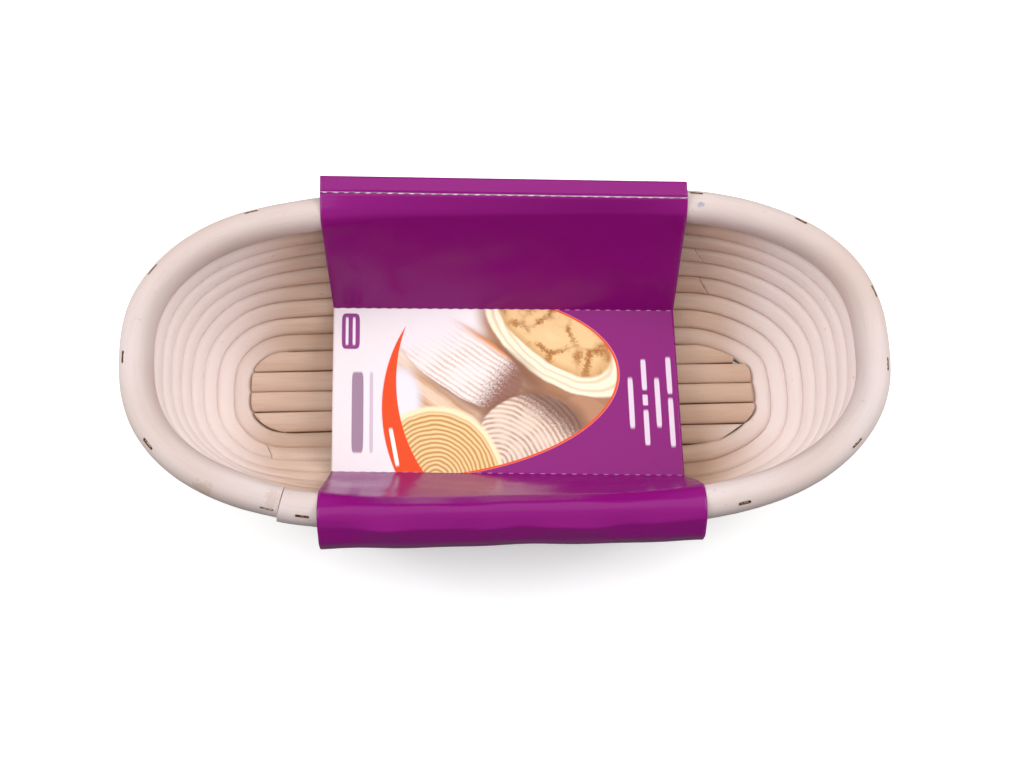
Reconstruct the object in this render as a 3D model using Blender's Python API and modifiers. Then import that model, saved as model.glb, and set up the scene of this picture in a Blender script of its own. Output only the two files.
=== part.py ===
"""Oval proofing basket of coiled rattan cane, standing in the printed card sleeve it is sold in.

Metres, +Z up, long axis along X, front at -Y. The sleeve's underside is at Z = 0.
"""
import math

import bmesh
import bpy
import numpy as np
from mathutils import Matrix, Vector

# Overall sizes at the rim
OVERALL_LENGTH = 0.280
OVERALL_WIDTH = 0.130

# Rattan canes
CANE_PITCH = 0.00823         # centre to centre of two turns of the wall
FLOOR_SLACK = 0.00015        # what the straight floor canes lie further apart than that
RIM_DIAMETER = 0.01244
CONTACT_GAP = 0.0003         # left between pieces that touch
WALL_TURNS = 8
WALL_LEAN = 4.6              # how far the long walls lean out, in cane pitches
STEP_HALF = 0.040            # half length of the stretch where each turn steps up
SPLICES = (1.16, 3.63, 5.62)  # where one cane length ends and the next starts, in turns
THINNEST_END = 0.22          # share of the full radius at the coil's tapered last end
POINT_SPACING = 0.0095       # between the points of a cane's centre line
EASE_STRETCH = 0.022         # over which the wall's change of profile is spread

# Outline of the rim, seen from above
STRAIGHT_HALF = 0.025        # half of the nearly straight middle
OUTLINE_POWER = 2.5          # 2 is an ellipse, more is squarer
RIGHT_FLARE = 0.01           # how much wider the right end is

# Wall profile: horizontal distance from the first turn to the rim, and slopes in degrees
LEFT_END_RUN = 0.0272
RIGHT_END_RUN = 0.0290
FLOOR_SLOPE = 28.0
TOP_SLOPE = 79.0
FRONT_RIGHT_FLOOR_SLOPE = 13.0
FRONT_RIGHT_TOP_SLOPE = 86.0

# Slats under the floor
SLAT_WIDTH = 0.012
SLAT_THICKNESS = 0.0024
SLAT_SPACING = 0.055

# Staples
STAPLE_CROWN = 0.0044
STAPLE_WIRE = 0.0007
RIM_STAPLE_LEG = 0.0138
SLAT_STAPLE_LEG = 0.0062
STAPLE_RECESS = 0.0007
SLOT_CLEARANCE = 0.0003
RIM_SLOT_OPEN = 0.003        # how far a slot's cutter runs past the surface
SLAT_SLOT_OPEN = 0.002
RIM_STAPLE_OFFSET = 0.0038   # outward from the rim's crest
RIM_STAPLES = (0.035, 0.111, 0.130, 0.200, 0.248, 0.297, 0.357, 0.420, 0.482,
               0.545, 0.608, 0.668, 0.722, 0.762, 0.807, 0.876, 0.950)
RIM_JOINT = 0.125            # butt joint of the rim, as a fraction of the way round

# Card sleeve
CARD = 0.0005
SLEEVE_LENGTH = 0.137
SLEEVE_BASE_INSET = 0.0038   # edge of the bottom panel, from the rim's centre line inward
SLEEVE_SKEW = 0.0023         # how far the back creases run off at each end
STRIP_WIDTH = 0.0066         # card strip that lies over each rim
TROUGH_DROP = 0.0378         # from the rim's centre down to the floor panel
TROUGH_TILT = 0.0020         # half of how much higher the floor panel's front crease is
CREASE_GAP = 0.0004
RIM_WRAP_RADIUS = 0.0076     # of the card's bend round the inside of the rim
BULGE = 0.0048               # how far the front panel bellies out past the rim
BACK_BELLY = 0.0016          # how far the back panel stands off the rim
HINGE_INSET = 0.0022         # front crease, from the rim's centre line inward
FRONT_FOLD_INSET = 0.01786   # front crease of the floor panel, from the rim at the sleeve's ends
BACK_FOLD_INSET = 0.02606    # back crease of the floor panel, from the rim at the sleeve's ends
BACK_CREASE_OFFSET = 0.0003  # perforated back crease, from the rim's centre line outward
SLEEVE_LOOSENESS = 0.0004    # between the card and the widest part of the rim

CANE_RADIUS = (CANE_PITCH - CONTACT_GAP) / 2
FLOOR_PITCH = CANE_PITCH + FLOOR_SLACK
RIM_RADIUS = (RIM_DIAMETER - CONTACT_GAP) / 2
RIM_HALF_LENGTH = (OVERALL_LENGTH - RIM_DIAMETER) / 2
RIM_HALF_WIDTH = (OVERALL_WIDTH - RIM_DIAMETER) / 2
SLAT_BOTTOM = CARD + CONTACT_GAP
FLOOR_Z = SLAT_BOTTOM + SLAT_THICKNESS + CONTACT_GAP + CANE_RADIUS
FLOOR_STRIPS = round(2 * (RIM_HALF_WIDTH - WALL_LEAN * CANE_PITCH) / FLOOR_PITCH) - 1
FLOOR_HALF = (FLOOR_STRIPS + 1) / 2 * FLOOR_PITCH
STATIONS = 960               # places round the rim where the wall's profile is worked out

for old in list(bpy.data.objects):
    bpy.data.objects.remove(old)

basket_parts = bpy.data.collections.new("proofing_basket")
cutters = bpy.data.collections.new("cutters")
bpy.context.scene.collection.children.link(basket_parts)
bpy.context.scene.collection.children.link(cutters)
cutters.hide_render = True


def make_material(name, colour, roughness, metallic=0.0):
    material = bpy.data.materials.new(name)
    material.use_nodes = True
    shader = material.node_tree.nodes["Principled BSDF"]
    shader.inputs["Base Color"].default_value = (*colour, 1)
    shader.inputs["Roughness"].default_value = roughness
    shader.inputs["Metallic"].default_value = metallic
    material.diffuse_color = (*colour, 1)
    return material


rattan = make_material("rattan", (0.80, 0.70, 0.58), 0.75)
rim_rattan = make_material("rim_rattan", (0.84, 0.75, 0.65), 0.70)
slat_wood = make_material("slat_wood", (0.70, 0.56, 0.40), 0.70)
staple_steel = make_material("staple_steel", (0.45, 0.42, 0.38), 0.40, 0.9)
printed_card = make_material("printed_card", (0.22, 0.03, 0.23), 0.30)


# The rim's outline and the wall's profile at every station round it

def ease(value):
    value = np.clip(value, 0.0, 1.0)
    return value * value * (3 - 2 * value)


def rim_outline():
    """Evenly spaced centres of the rim hoop, clockwise from the middle of the front."""
    turn = np.linspace(0, math.pi / 2, 400)
    along = STRAIGHT_HALF + (RIM_HALF_LENGTH - STRAIGHT_HALF) * np.sin(turn) ** (2 / OUTLINE_POWER)
    across = RIM_HALF_WIDTH * np.cos(turn) ** (2 / OUTLINE_POWER)
    front_left = np.stack([-along, -across], 1)
    back_left = np.stack([-along, across], 1)[::-1]
    back_right = np.stack([along, across], 1)
    front_right = np.stack([along, -across], 1)[::-1]
    middle = np.array([[0.0, -RIM_HALF_WIDTH]])
    loop = np.concatenate([middle, front_left, back_left[1:], back_right, front_right[1:], middle])
    loop[:, 1] *= 1 + RIGHT_FLARE * loop[:, 0] / RIM_HALF_LENGTH
    lengths = np.concatenate([[0], np.cumsum(np.linalg.norm(np.diff(loop, axis=0), axis=1))])
    wanted = np.linspace(0, lengths[-1], STATIONS, endpoint=False)
    return np.stack([np.interp(wanted, lengths, loop[:, axis]) for axis in (0, 1)], 1)


def outward(outline):
    """Unit normals in plan, pointing out of a clockwise loop."""
    tangent = np.roll(outline, -2, axis=0) - np.roll(outline, 2, axis=0)
    tangent /= np.linalg.norm(tangent, axis=1)[:, None]
    return np.stack([-tangent[:, 1], tangent[:, 0]], 1)


def eased_round(values):
    """Values round the loop with their kinks spread over a short stretch."""
    reach = round(EASE_STRETCH / 2 / (perimeter() / STATIONS))
    return sum(np.roll(values, shift) for shift in range(-reach, reach + 1)) / (2 * reach + 1)


def perimeter():
    return float(np.linalg.norm(rim_xy - np.roll(rim_xy, -1, axis=0), axis=1).sum())


def wall_slopes(run, floor_slope, top_slope):
    """Slopes from turn to turn, last to the rim, whose horizontal distances add up to run."""
    run, floor_slope, top_slope = np.broadcast_arrays(run, floor_slope, top_slope)
    links = np.full(WALL_TURNS, CANE_PITCH)
    links[-1] = (CANE_PITCH + RIM_DIAMETER) / 2
    left_to_go = 1 - np.arange(WALL_TURNS) / (WALL_TURNS - 1)
    low = np.full(run.shape, 0.2)
    high = np.full(run.shape, 12.0)
    for _ in range(50):
        power = (low + high) / 2
        drop = (top_slope - floor_slope)[:, None] * left_to_go[None, :] ** power[:, None]
        slopes = np.radians(top_slope[:, None] - drop)
        too_long = (np.cos(slopes) * links).sum(axis=1) > run
        low = np.where(too_long, power, low)
        high = np.where(too_long, high, power)
    return slopes, links


rim_xy = rim_outline()
rim_normal = outward(rim_xy)


def station_wall():
    """Place of each turn below every station: distance inward from the rim, and height."""
    x, y = rim_xy[:, 0], rim_xy[:, 1]
    normal_y = rim_normal[:, 1]
    front_right = (x > 0) & (y < 0)
    floor_half = np.where(front_right, FLOOR_HALF + FLOOR_PITCH, FLOOR_HALF)
    run_to_line = (np.abs(y) - floor_half) / np.maximum(np.abs(normal_y), 0.2)
    run_at_end = np.where(x < 0, LEFT_END_RUN, RIGHT_END_RUN + FLOOR_PITCH / 2 * normal_y)
    run = eased_round(np.maximum(run_to_line, run_at_end))
    bias = np.where(x > 0, ease((-normal_y - 0.2) / 0.6), 0.0)
    floor_slope = FLOOR_SLOPE + (FRONT_RIGHT_FLOOR_SLOPE - FLOOR_SLOPE) * bias
    top_slope = TOP_SLOPE + (FRONT_RIGHT_TOP_SLOPE - TOP_SLOPE) * bias
    slopes, links = wall_slopes(run, floor_slope, top_slope)
    across = np.cumsum(np.cos(slopes) * links, axis=1)
    upward = np.cumsum(np.sin(slopes) * links, axis=1)
    start = np.zeros((STATIONS, 1))
    inward = run[:, None] - np.concatenate([start, across], axis=1)
    height = FLOOR_Z + np.concatenate([start, upward], axis=1)
    return inward, height


wall_inward, wall_height = station_wall()


def ring_point(station, level):
    """Centre of turn number level, or of the rim at level WALL_TURNS, below one station."""
    xy = rim_xy[station] - rim_normal[station] * wall_inward[station, level]
    return Vector((xy[0], xy[1], wall_height[station, level]))


def rim_y_at(x, side=-1):
    """Distance of the rim's centre from the long axis, at the front (-1) or back (1)."""
    on_side = rim_xy[:, 1] * side > 0
    order = np.argsort(rim_xy[on_side, 0])
    return float(np.interp(x, rim_xy[on_side, 0][order], np.abs(rim_xy[on_side, 1][order])))


def step_chain(x):
    """Stack of canes at the middle of the front, where each turn steps up to the next.

    Returns (distance from the axis, height, radius) of each turn, then the rim's centre.
    """
    share = float(ease((STEP_HALF - x) / (2 * STEP_HALF)))
    reach = rim_y_at(x)
    left, links = wall_slopes(np.array([reach - FLOOR_HALF]), FLOOR_SLOPE, TOP_SLOPE)
    right, _ = wall_slopes(np.array([reach - FLOOR_HALF - FLOOR_PITCH]),
                           FRONT_RIGHT_FLOOR_SLOPE, FRONT_RIGHT_TOP_SLOPE)
    left_rise = float((np.sin(left[0]) * links).sum())
    right_rise = float((np.sin(right[0]) * links).sum())
    rim = Vector((reach, FLOOR_Z + right_rise + (left_rise - right_rise) * share))
    shifted = np.concatenate([[0.0], right[0][:-1]])
    slopes = shifted + (left[0] - shifted) * share
    stack = [(Vector((FLOOR_HALF, FLOOR_Z)), CANE_RADIUS)]
    for index in range(WALL_TURNS - 1):
        length = CANE_PITCH
        if index == 0:
            length = FLOOR_PITCH + (CANE_PITCH - FLOOR_PITCH) * share
        step = Vector((math.cos(slopes[index]), math.sin(slopes[index]))) * length
        stack.append((stack[-1][0] + step, CANE_RADIUS))
    last = stack[-1][0]
    room = (rim - last).length - CANE_RADIUS - RIM_RADIUS - 2 * CONTACT_GAP
    radius = min(room / 2, CANE_RADIUS)
    toward = (rim - last).normalized()
    stack.append((last + toward * (CANE_RADIUS + CONTACT_GAP + radius), radius))
    return stack, rim


def step_stretch(level):
    """Points of one turn across the front's middle, from right to left, with radii."""
    points = []
    for x in np.linspace(STEP_HALF, -STEP_HALF, 9):
        stack, _ = step_chain(x)
        place, radius = stack[level]
        points.append((Vector((x, -place.x, place.y)), radius))
    return points


def floor_reach(y, side, ring):
    """How far a floor cane runs towards one end before its corners meet a turn's centre line."""
    line = [a.lerp(b, share / 12) for a, b in zip(ring, ring[1:]) for share in range(12)]
    reach = 0.25 * OVERALL_LENGTH
    while True:
        corners = [Vector((side * reach, y + edge * CANE_RADIUS, FLOOR_Z)) for edge in (-1, 0, 1)]
        nearest = min((point - corner).length for point in line for corner in corners)
        if nearest < CANE_RADIUS + CONTACT_GAP:
            return reach
        reach += 0.0003


def coil_path():
    """The whole coil as (point, radius, turns gone by)."""
    path = []
    first_ring = [ring_point(station, 0) for station in range(0, STATIONS, 8)]
    start_x = floor_reach(-FLOOR_HALF, 1, first_ring)
    for x in np.arange(start_x, STEP_HALF, -POINT_SPACING):
        path.append((Vector((x, -FLOOR_HALF, FLOOR_Z)), CANE_RADIUS, 0.0))
    every = max(1, int(POINT_SPACING / (perimeter() / STATIONS)))
    for level in range(WALL_TURNS + 1):
        for point, radius in step_stretch(level):
            if radius > CANE_RADIUS * THINNEST_END:
                path.append((point, radius, float(level)))
        if level == WALL_TURNS:
            break
        for station in range(0, STATIONS, every):
            point = ring_point(station, level)
            in_step = point.y < 0 and abs(point.x) < STEP_HALF + POINT_SPACING * 0.7
            if not in_step:
                path.append((point, CANE_RADIUS, level + station / STATIONS))
    return path


def rim_height(station):
    x, y = rim_xy[station]
    if y < 0 and abs(x) <= STEP_HALF:
        return step_chain(x)[1].y
    return float(wall_height[station, WALL_TURNS])


# Builders

def cane(name, points, material, radii=None, depth=CANE_RADIUS, resolution=2):
    """A round cane as a poly curve with a bevel and filled ends."""
    curve = bpy.data.curves.new(name, "CURVE")
    curve.dimensions = "3D"
    curve.bevel_depth = depth
    curve.bevel_resolution = resolution
    curve.use_fill_caps = True
    spline = curve.splines.new("POLY")
    spline.points.add(len(points) - 1)
    for index, point in enumerate(points):
        spline.points[index].co = (*point, 1)
        if radii:
            spline.points[index].radius = radii[index] / depth
    spline.use_smooth = True
    obj = bpy.data.objects.new(name, curve)
    basket_parts.objects.link(obj)
    curve.materials.append(material)
    return obj


def as_mesh(obj):
    """The same piece as a closed mesh, because a curve takes no Boolean."""
    graph = bpy.context.evaluated_depsgraph_get()
    mesh = bpy.data.meshes.new_from_object(obj.evaluated_get(graph))
    shape = bmesh.new()
    shape.from_mesh(mesh)
    bmesh.ops.remove_doubles(shape, verts=shape.verts, dist=1e-6)
    bmesh.ops.recalc_face_normals(shape, faces=shape.faces)
    shape.to_mesh(mesh)
    shape.free()
    name = obj.name
    material = obj.data.materials[0]
    solid = bpy.data.objects.new(name + "_mesh", mesh)
    solid.matrix_world = obj.matrix_world.copy()
    for collection in obj.users_collection:
        collection.objects.link(solid)
    bpy.data.objects.remove(obj)
    solid.name = name
    solid.data.materials.clear()
    solid.data.materials.append(material)
    return solid


def boxes(name, placements, size, collection):
    """One object made of equal boxes at the given matrices."""
    shape = bmesh.new()
    for matrix in placements:
        bmesh.ops.create_cube(shape, size=1.0, matrix=matrix @ Matrix.Diagonal((*size, 1)))
    mesh = bpy.data.meshes.new(name)
    shape.to_mesh(mesh)
    shape.free()
    obj = bpy.data.objects.new(name, mesh)
    collection.objects.link(obj)
    if collection == cutters:
        obj.hide_render = True
        obj.display_type = "WIRE"
    return obj


def cut(obj, cutter):
    boolean = obj.modifiers.new("slots", "BOOLEAN")
    boolean.operation = "DIFFERENCE"
    boolean.solver = "EXACT"
    boolean.object = cutter


def frame_matrix(origin, along, depth_axis):
    """Matrix with X along the crown and -Z down the legs."""
    z_axis = -depth_axis.normalized()
    x_axis = (along - z_axis * along.dot(z_axis)).normalized()
    y_axis = z_axis.cross(x_axis)
    matrix = Matrix((x_axis, y_axis, z_axis)).transposed().to_4x4()
    matrix.translation = origin
    return matrix


def staple(name, matrix, leg):
    """A bent wire: two legs and a crown."""
    half = STAPLE_CROWN / 2 - STAPLE_WIRE / 2
    corners = [(-half, 0, -leg), (-half, 0, 0), (half, 0, 0), (half, 0, -leg)]
    points = [matrix @ Vector(corner) for corner in corners]
    return cane(name, points, staple_steel, depth=STAPLE_WIRE / 2, resolution=1)


def slot_matrices(matrices, leg, open_above):
    """Box placements and box size for the pockets round staples."""
    size = (STAPLE_CROWN + 2 * SLOT_CLEARANCE,
            STAPLE_WIRE + 2 * SLOT_CLEARANCE,
            leg + SLOT_CLEARANCE + open_above)
    drop = Matrix.Translation((0, 0, (open_above - leg - SLOT_CLEARANCE) / 2))
    return [matrix @ drop for matrix in matrices], size


def sheet(name, sections, material):
    """Card folded along X: each section is ((y, z) at the left end, (y, z) at the right end)."""
    shape = bmesh.new()
    columns = 8
    bmesh.ops.create_grid(shape, x_segments=columns, y_segments=len(sections) - 1, size=1.0)
    for vert in shape.verts:
        share = (vert.co.x + 1) / 2
        row = round((vert.co.y + 1) / 2 * (len(sections) - 1))
        left, right = sections[row]
        vert.co = Vector((
            (share - 0.5) * SLEEVE_LENGTH,
            left[0] + (right[0] - left[0]) * share,
            left[1] + (right[1] - left[1]) * share,
        ))
    mesh = bpy.data.meshes.new(name)
    shape.to_mesh(mesh)
    shape.free()
    obj = bpy.data.objects.new(name, mesh)
    basket_parts.objects.link(obj)
    thickness = obj.modifiers.new("card", "SOLIDIFY")
    thickness.thickness = CARD
    thickness.offset = 0
    thickness.use_even_offset = True
    mesh.materials.append(material)
    return obj


# Coil: one spiral of cane, laid in four spliced lengths


def splice_end(path, turns, gap):
    """The coil's centre line at some number of turns, moved on along it by gap."""
    after = next(index for index, entry in enumerate(path) if entry[2] > turns)
    start, radius, turns_before = path[after - 1]
    end, _, turns_after = path[after]
    share = (turns - turns_before) / (turns_after - turns_before) + gap / (end - start).length
    return start.lerp(end, share), radius, turns


whole_coil = coil_path()
coil_nodes = []
for number in range(len(SPLICES) + 1):
    first = SPLICES[number - 1] if number > 0 else -1.0
    last = SPLICES[number] if number < len(SPLICES) else WALL_TURNS + 1.0
    length = [entry for entry in whole_coil if first < entry[2] < last]
    if number > 0:
        length.insert(0, splice_end(whole_coil, first, CONTACT_GAP / 2))
    if number < len(SPLICES):
        length.append(splice_end(whole_coil, last, -CONTACT_GAP / 2))
    coil_nodes.append(cane(
        f"coil_cane_{number + 1}",
        [entry[0] for entry in length],
        rattan,
        radii=[entry[1] for entry in length],
    ))

# Floor: straight canes that end against the first turn

first_turn = [entry[0] for entry in whole_coil if 0 < entry[2] < 1.1]
strip_rows = [(index - (FLOOR_STRIPS - 1) / 2) * FLOOR_PITCH for index in range(FLOOR_STRIPS)]
strips = []
for index, y in enumerate(strip_rows):
    ends = [side * floor_reach(y, side, first_turn) for side in (-1, 1)]
    points = [(ends[0], y, FLOOR_Z), (0, y, FLOOR_Z), (ends[1], y, FLOOR_Z)]
    strips.append(cane(f"floor_strip_{index + 1}", points, rattan))

# Rim hoop: one thicker cane bent round, its ends butted at front left

joint_station = round(RIM_JOINT * STATIONS)
rim_step = max(1, int(POINT_SPACING / (perimeter() / STATIONS)))
rim_points = []
for offset in range(2, STATIONS - 1, rim_step):
    station = (joint_station + offset) % STATIONS
    rim_points.append(Vector((*rim_xy[station], rim_height(station))))
before_joint = (joint_station - 1) % STATIONS
rim_points[-1] = Vector((*rim_xy[before_joint], rim_height(before_joint)))
rim_hoop = as_mesh(cane("rim_hoop", rim_points, rim_rattan, depth=RIM_RADIUS, resolution=3))

# Rim staples: driven down through the rim into the top turn of the wall


def rim_staple_matrix(fraction):
    station = round(fraction * STATIONS) % STATIONS
    normal = Vector((*rim_normal[station], 0))
    centre = Vector((*rim_xy[station], rim_height(station)))
    x, y = rim_xy[station]
    if y < 0 and abs(x) <= STEP_HALF:
        stack, _ = step_chain(x)
        target = stack[WALL_TURNS - 1][0]
        below = Vector((x, -target.x, target.y))
    else:
        below = ring_point(station, WALL_TURNS - 1)
    surface = math.sqrt(RIM_RADIUS ** 2 - RIM_STAPLE_OFFSET ** 2)
    crown = centre + normal * RIM_STAPLE_OFFSET + Vector((0, 0, surface))
    drive = (below - crown).normalized()
    along = normal.cross(Vector((0, 0, 1)))
    return frame_matrix(crown + drive * STAPLE_RECESS, along, drive)


rim_staple_frames = [rim_staple_matrix(fraction) for fraction in RIM_STAPLES]
for number, matrix in enumerate(rim_staple_frames):
    staple(f"rim_staple_{number + 1:02d}", matrix, RIM_STAPLE_LEG)
slot_places, slot_size = slot_matrices(rim_staple_frames, RIM_STAPLE_LEG, RIM_SLOT_OPEN)
rim_slots = boxes("rim_slots", slot_places, slot_size, cutters)
cut(rim_hoop, rim_slots)
coil_nodes[-1] = as_mesh(coil_nodes[-1])
cut(coil_nodes[-1], rim_slots)

# Slats under the floor, each stapled to the floor canes

slat_back = FLOOR_HALF + CANE_RADIUS
slat_front = -(FLOOR_HALF + FLOOR_PITCH + CANE_RADIUS)
slat_middle_y = (slat_back + slat_front) / 2
slat_size = (SLAT_WIDTH, slat_back - slat_front, SLAT_THICKNESS)
slat_staple_frames = []
slats = []
for number, slat_x in enumerate((-SLAT_SPACING, 0.0, SLAT_SPACING)):
    middle = Matrix.Translation((slat_x, slat_middle_y, SLAT_BOTTOM + SLAT_THICKNESS / 2))
    slat = boxes(f"base_slat_{number + 1}", [middle], slat_size, basket_parts)
    slat.data.materials.append(slat_wood)
    slats.append(slat)
    for y in strip_rows:
        crown = Vector((slat_x, y, SLAT_BOTTOM + STAPLE_RECESS))
        slat_staple_frames.append(frame_matrix(crown, Vector((1, 0, 0)), Vector((0, 0, 1))))
for number, matrix in enumerate(slat_staple_frames):
    staple(f"slat_staple_{number + 1:02d}", matrix, SLAT_STAPLE_LEG)
slot_places, slot_size = slot_matrices(slat_staple_frames, SLAT_STAPLE_LEG, SLAT_SLOT_OPEN)
slat_slots = boxes("slat_slots", slot_places, slot_size, cutters)
for slat in slats:
    cut(slat, slat_slots)
for index, strip in enumerate(strips):
    strips[index] = as_mesh(strip)
    cut(strips[index], slat_slots)

# Card sleeve: the outer wrap goes under the basket and over both rims; the inner trough hangs
# inside and hinges up at the front crease once the back crease's perforation is torn

sleeve_half = SLEEVE_LENGTH / 2
rim_z = float(wall_height[STATIONS // 2, WALL_TURNS])
rim_y_end = rim_y_at(-sleeve_half, 1)
under_sleeve = [station for station in range(STATIONS) if abs(rim_xy[station, 0]) <= sleeve_half]
rim_top = max(rim_height(station) for station in under_sleeve)
crest_z = rim_top + RIM_RADIUS + CONTACT_GAP + CARD / 2
bend_centre = (rim_y_end + SLEEVE_LOOSENESS, crest_z - RIM_WRAP_RADIUS)


def level_pair(y, z, skew=0.0):
    """The same fold at both ends, run off by skew at each."""
    return ((y + skew, z), (y - skew, z))


def bend(side, angles):
    """Folds of the card's bend round the inside of a rim."""
    folds = []
    for angle in angles:
        away = math.radians(angle)
        y = bend_centre[0] - RIM_WRAP_RADIUS * math.cos(away)
        z = bend_centre[1] + RIM_WRAP_RADIUS * math.sin(away)
        folds.append(level_pair(side * y, z))
    return folds


hinge_y = -(RIM_HALF_WIDTH - HINGE_INSET)
floor_front = -(rim_y_end - FRONT_FOLD_INSET)
floor_back = rim_y_end - BACK_FOLD_INSET
trough_z = rim_z - TROUGH_DROP
back_crease_y = RIM_HALF_WIDTH + BACK_CREASE_OFFSET
trough_sections = (
    [level_pair(hinge_y, crest_z)]
    + bend(-1, (66, 42, 18))
    + [level_pair(floor_front, trough_z + TROUGH_TILT, SLEEVE_SKEW)]
    + [level_pair(floor_back, trough_z - TROUGH_TILT, SLEEVE_SKEW * 0.8)]
    + bend(1, (18, 42, 66))
    + [level_pair(back_crease_y, crest_z, SLEEVE_SKEW)]
)
trough = sheet("sleeve_trough", trough_sections, printed_card)
hinge = Vector((0, hinge_y - CREASE_GAP / 2, crest_z + CARD / 2))
trough.data.transform(Matrix.Translation(-hinge))
trough.location = hinge

outer_fold = RIM_HALF_WIDTH + RIM_DIAMETER / 2 + SLEEVE_LOOSENESS
base_half = RIM_HALF_WIDTH - SLEEVE_BASE_INSET
foot = Vector((0.001, 0.003))  # the bottom panel's rounded edge: outward and up
wrap_sections = [
    level_pair(hinge_y - CREASE_GAP, crest_z),
    level_pair(-outer_fold, crest_z - 0.0006),
    level_pair(-(outer_fold + BULGE * 0.75), rim_z + 0.0015),
    level_pair(-(outer_fold + BULGE), rim_z - 0.004),
    level_pair(-(base_half + foot.x), CARD / 2 + foot.y),
    level_pair(-base_half, CARD / 2),
    level_pair(base_half, CARD / 2),
    level_pair(base_half + foot.x, CARD / 2 + foot.y),
    level_pair(outer_fold + BACK_BELLY, rim_z, SLEEVE_SKEW * 0.8),
    level_pair(back_crease_y + STRIP_WIDTH, crest_z, SLEEVE_SKEW),
    level_pair(back_crease_y + CREASE_GAP, crest_z, SLEEVE_SKEW),
]
sheet("sleeve_wrap", wrap_sections, printed_card)
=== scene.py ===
"""Looks of an oval proofing basket of coiled rattan cane, standing in its printed card sleeve.

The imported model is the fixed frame. Lengths are metres: long side along X, front at -Y, +Z up.
"""
import math

import bmesh
import bpy
import numpy as np
from mathutils import Matrix, Vector, noise


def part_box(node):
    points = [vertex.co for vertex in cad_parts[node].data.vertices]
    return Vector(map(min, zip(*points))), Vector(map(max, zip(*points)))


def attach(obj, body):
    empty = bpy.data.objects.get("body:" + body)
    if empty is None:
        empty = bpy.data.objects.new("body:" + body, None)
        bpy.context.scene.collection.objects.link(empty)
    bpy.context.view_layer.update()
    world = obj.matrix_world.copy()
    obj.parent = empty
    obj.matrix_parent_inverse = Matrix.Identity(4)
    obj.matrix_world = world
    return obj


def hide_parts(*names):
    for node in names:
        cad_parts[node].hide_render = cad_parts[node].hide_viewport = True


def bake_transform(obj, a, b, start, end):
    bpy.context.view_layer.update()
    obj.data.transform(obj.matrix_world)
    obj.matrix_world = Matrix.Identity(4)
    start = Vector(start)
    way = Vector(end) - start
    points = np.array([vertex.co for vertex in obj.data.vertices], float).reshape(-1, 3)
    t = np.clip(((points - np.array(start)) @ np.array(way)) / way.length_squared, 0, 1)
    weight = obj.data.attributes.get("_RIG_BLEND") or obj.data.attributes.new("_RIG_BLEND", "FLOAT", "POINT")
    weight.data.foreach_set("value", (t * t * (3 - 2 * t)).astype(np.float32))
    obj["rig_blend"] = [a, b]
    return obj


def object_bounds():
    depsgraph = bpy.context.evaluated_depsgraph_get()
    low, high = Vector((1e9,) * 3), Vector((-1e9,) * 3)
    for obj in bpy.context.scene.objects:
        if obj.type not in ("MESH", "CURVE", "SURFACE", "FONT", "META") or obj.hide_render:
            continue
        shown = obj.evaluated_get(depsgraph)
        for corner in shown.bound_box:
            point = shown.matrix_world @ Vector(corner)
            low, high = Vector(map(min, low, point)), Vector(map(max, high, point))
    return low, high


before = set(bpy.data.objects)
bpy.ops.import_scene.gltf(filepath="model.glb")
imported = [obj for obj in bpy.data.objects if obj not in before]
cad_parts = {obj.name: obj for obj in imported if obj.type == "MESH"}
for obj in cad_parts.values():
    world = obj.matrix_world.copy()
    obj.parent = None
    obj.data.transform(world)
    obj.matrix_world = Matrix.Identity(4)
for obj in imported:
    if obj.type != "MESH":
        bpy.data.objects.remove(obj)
cad_low, cad_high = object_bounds()
BASKET = "basket"
TROUGH = "trough"

# ---------------------------------------------------------------------------------------------
# Wall coil. One spiral of 8 mm rattan core, bleached, soaked and wound eight times round a
# former, each turn pressed flat against the last. Four lengths are spliced end to end with
# slanting cuts, and the last turn thins out under the rim.
# ---------------------------------------------------------------------------------------------
CANE_PITCH = 0.00823
FLOOR_PITCH = 0.00838
RIM_DIAMETER = 0.01244
LAYING_GAP = 0.0003
WALL_TURNS = 8
FLOOR_STRIPS = 4
STEP_HALF = 0.040
SPLICES = (1.16, 3.63, 5.62)
STRAIGHT_HALF = 0.025
OUTLINE_POWER = 2.5
RIGHT_FLARE = 0.01
END_RUNS = {"left": 0.0272, "right": 0.0290}
WALL_SLOPES = {"left": (28.0, 79.0), "front_right": (13.0, 86.0)}
EASE_STRETCH = 0.022
STATIONS = 960
CANE_RADIUS = CANE_PITCH / 2
RIM_RADIUS = (RIM_DIAMETER - LAYING_GAP) / 2
RIM_HALF_LENGTH = (cad_high.x - cad_low.x) / 2 - RIM_RADIUS
RIM_HALF_WIDTH = 0.130 / 2 - RIM_DIAMETER / 2
FLOOR_HALF = (FLOOR_STRIPS + 1) / 2 * FLOOR_PITCH
strip_low, strip_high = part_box("floor_strip_1")
FLOOR_Z = (strip_low.z + strip_high.z) / 2


def ease(value):
    value = np.clip(value, 0.0, 1.0)
    return value * value * (3 - 2 * value)


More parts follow.
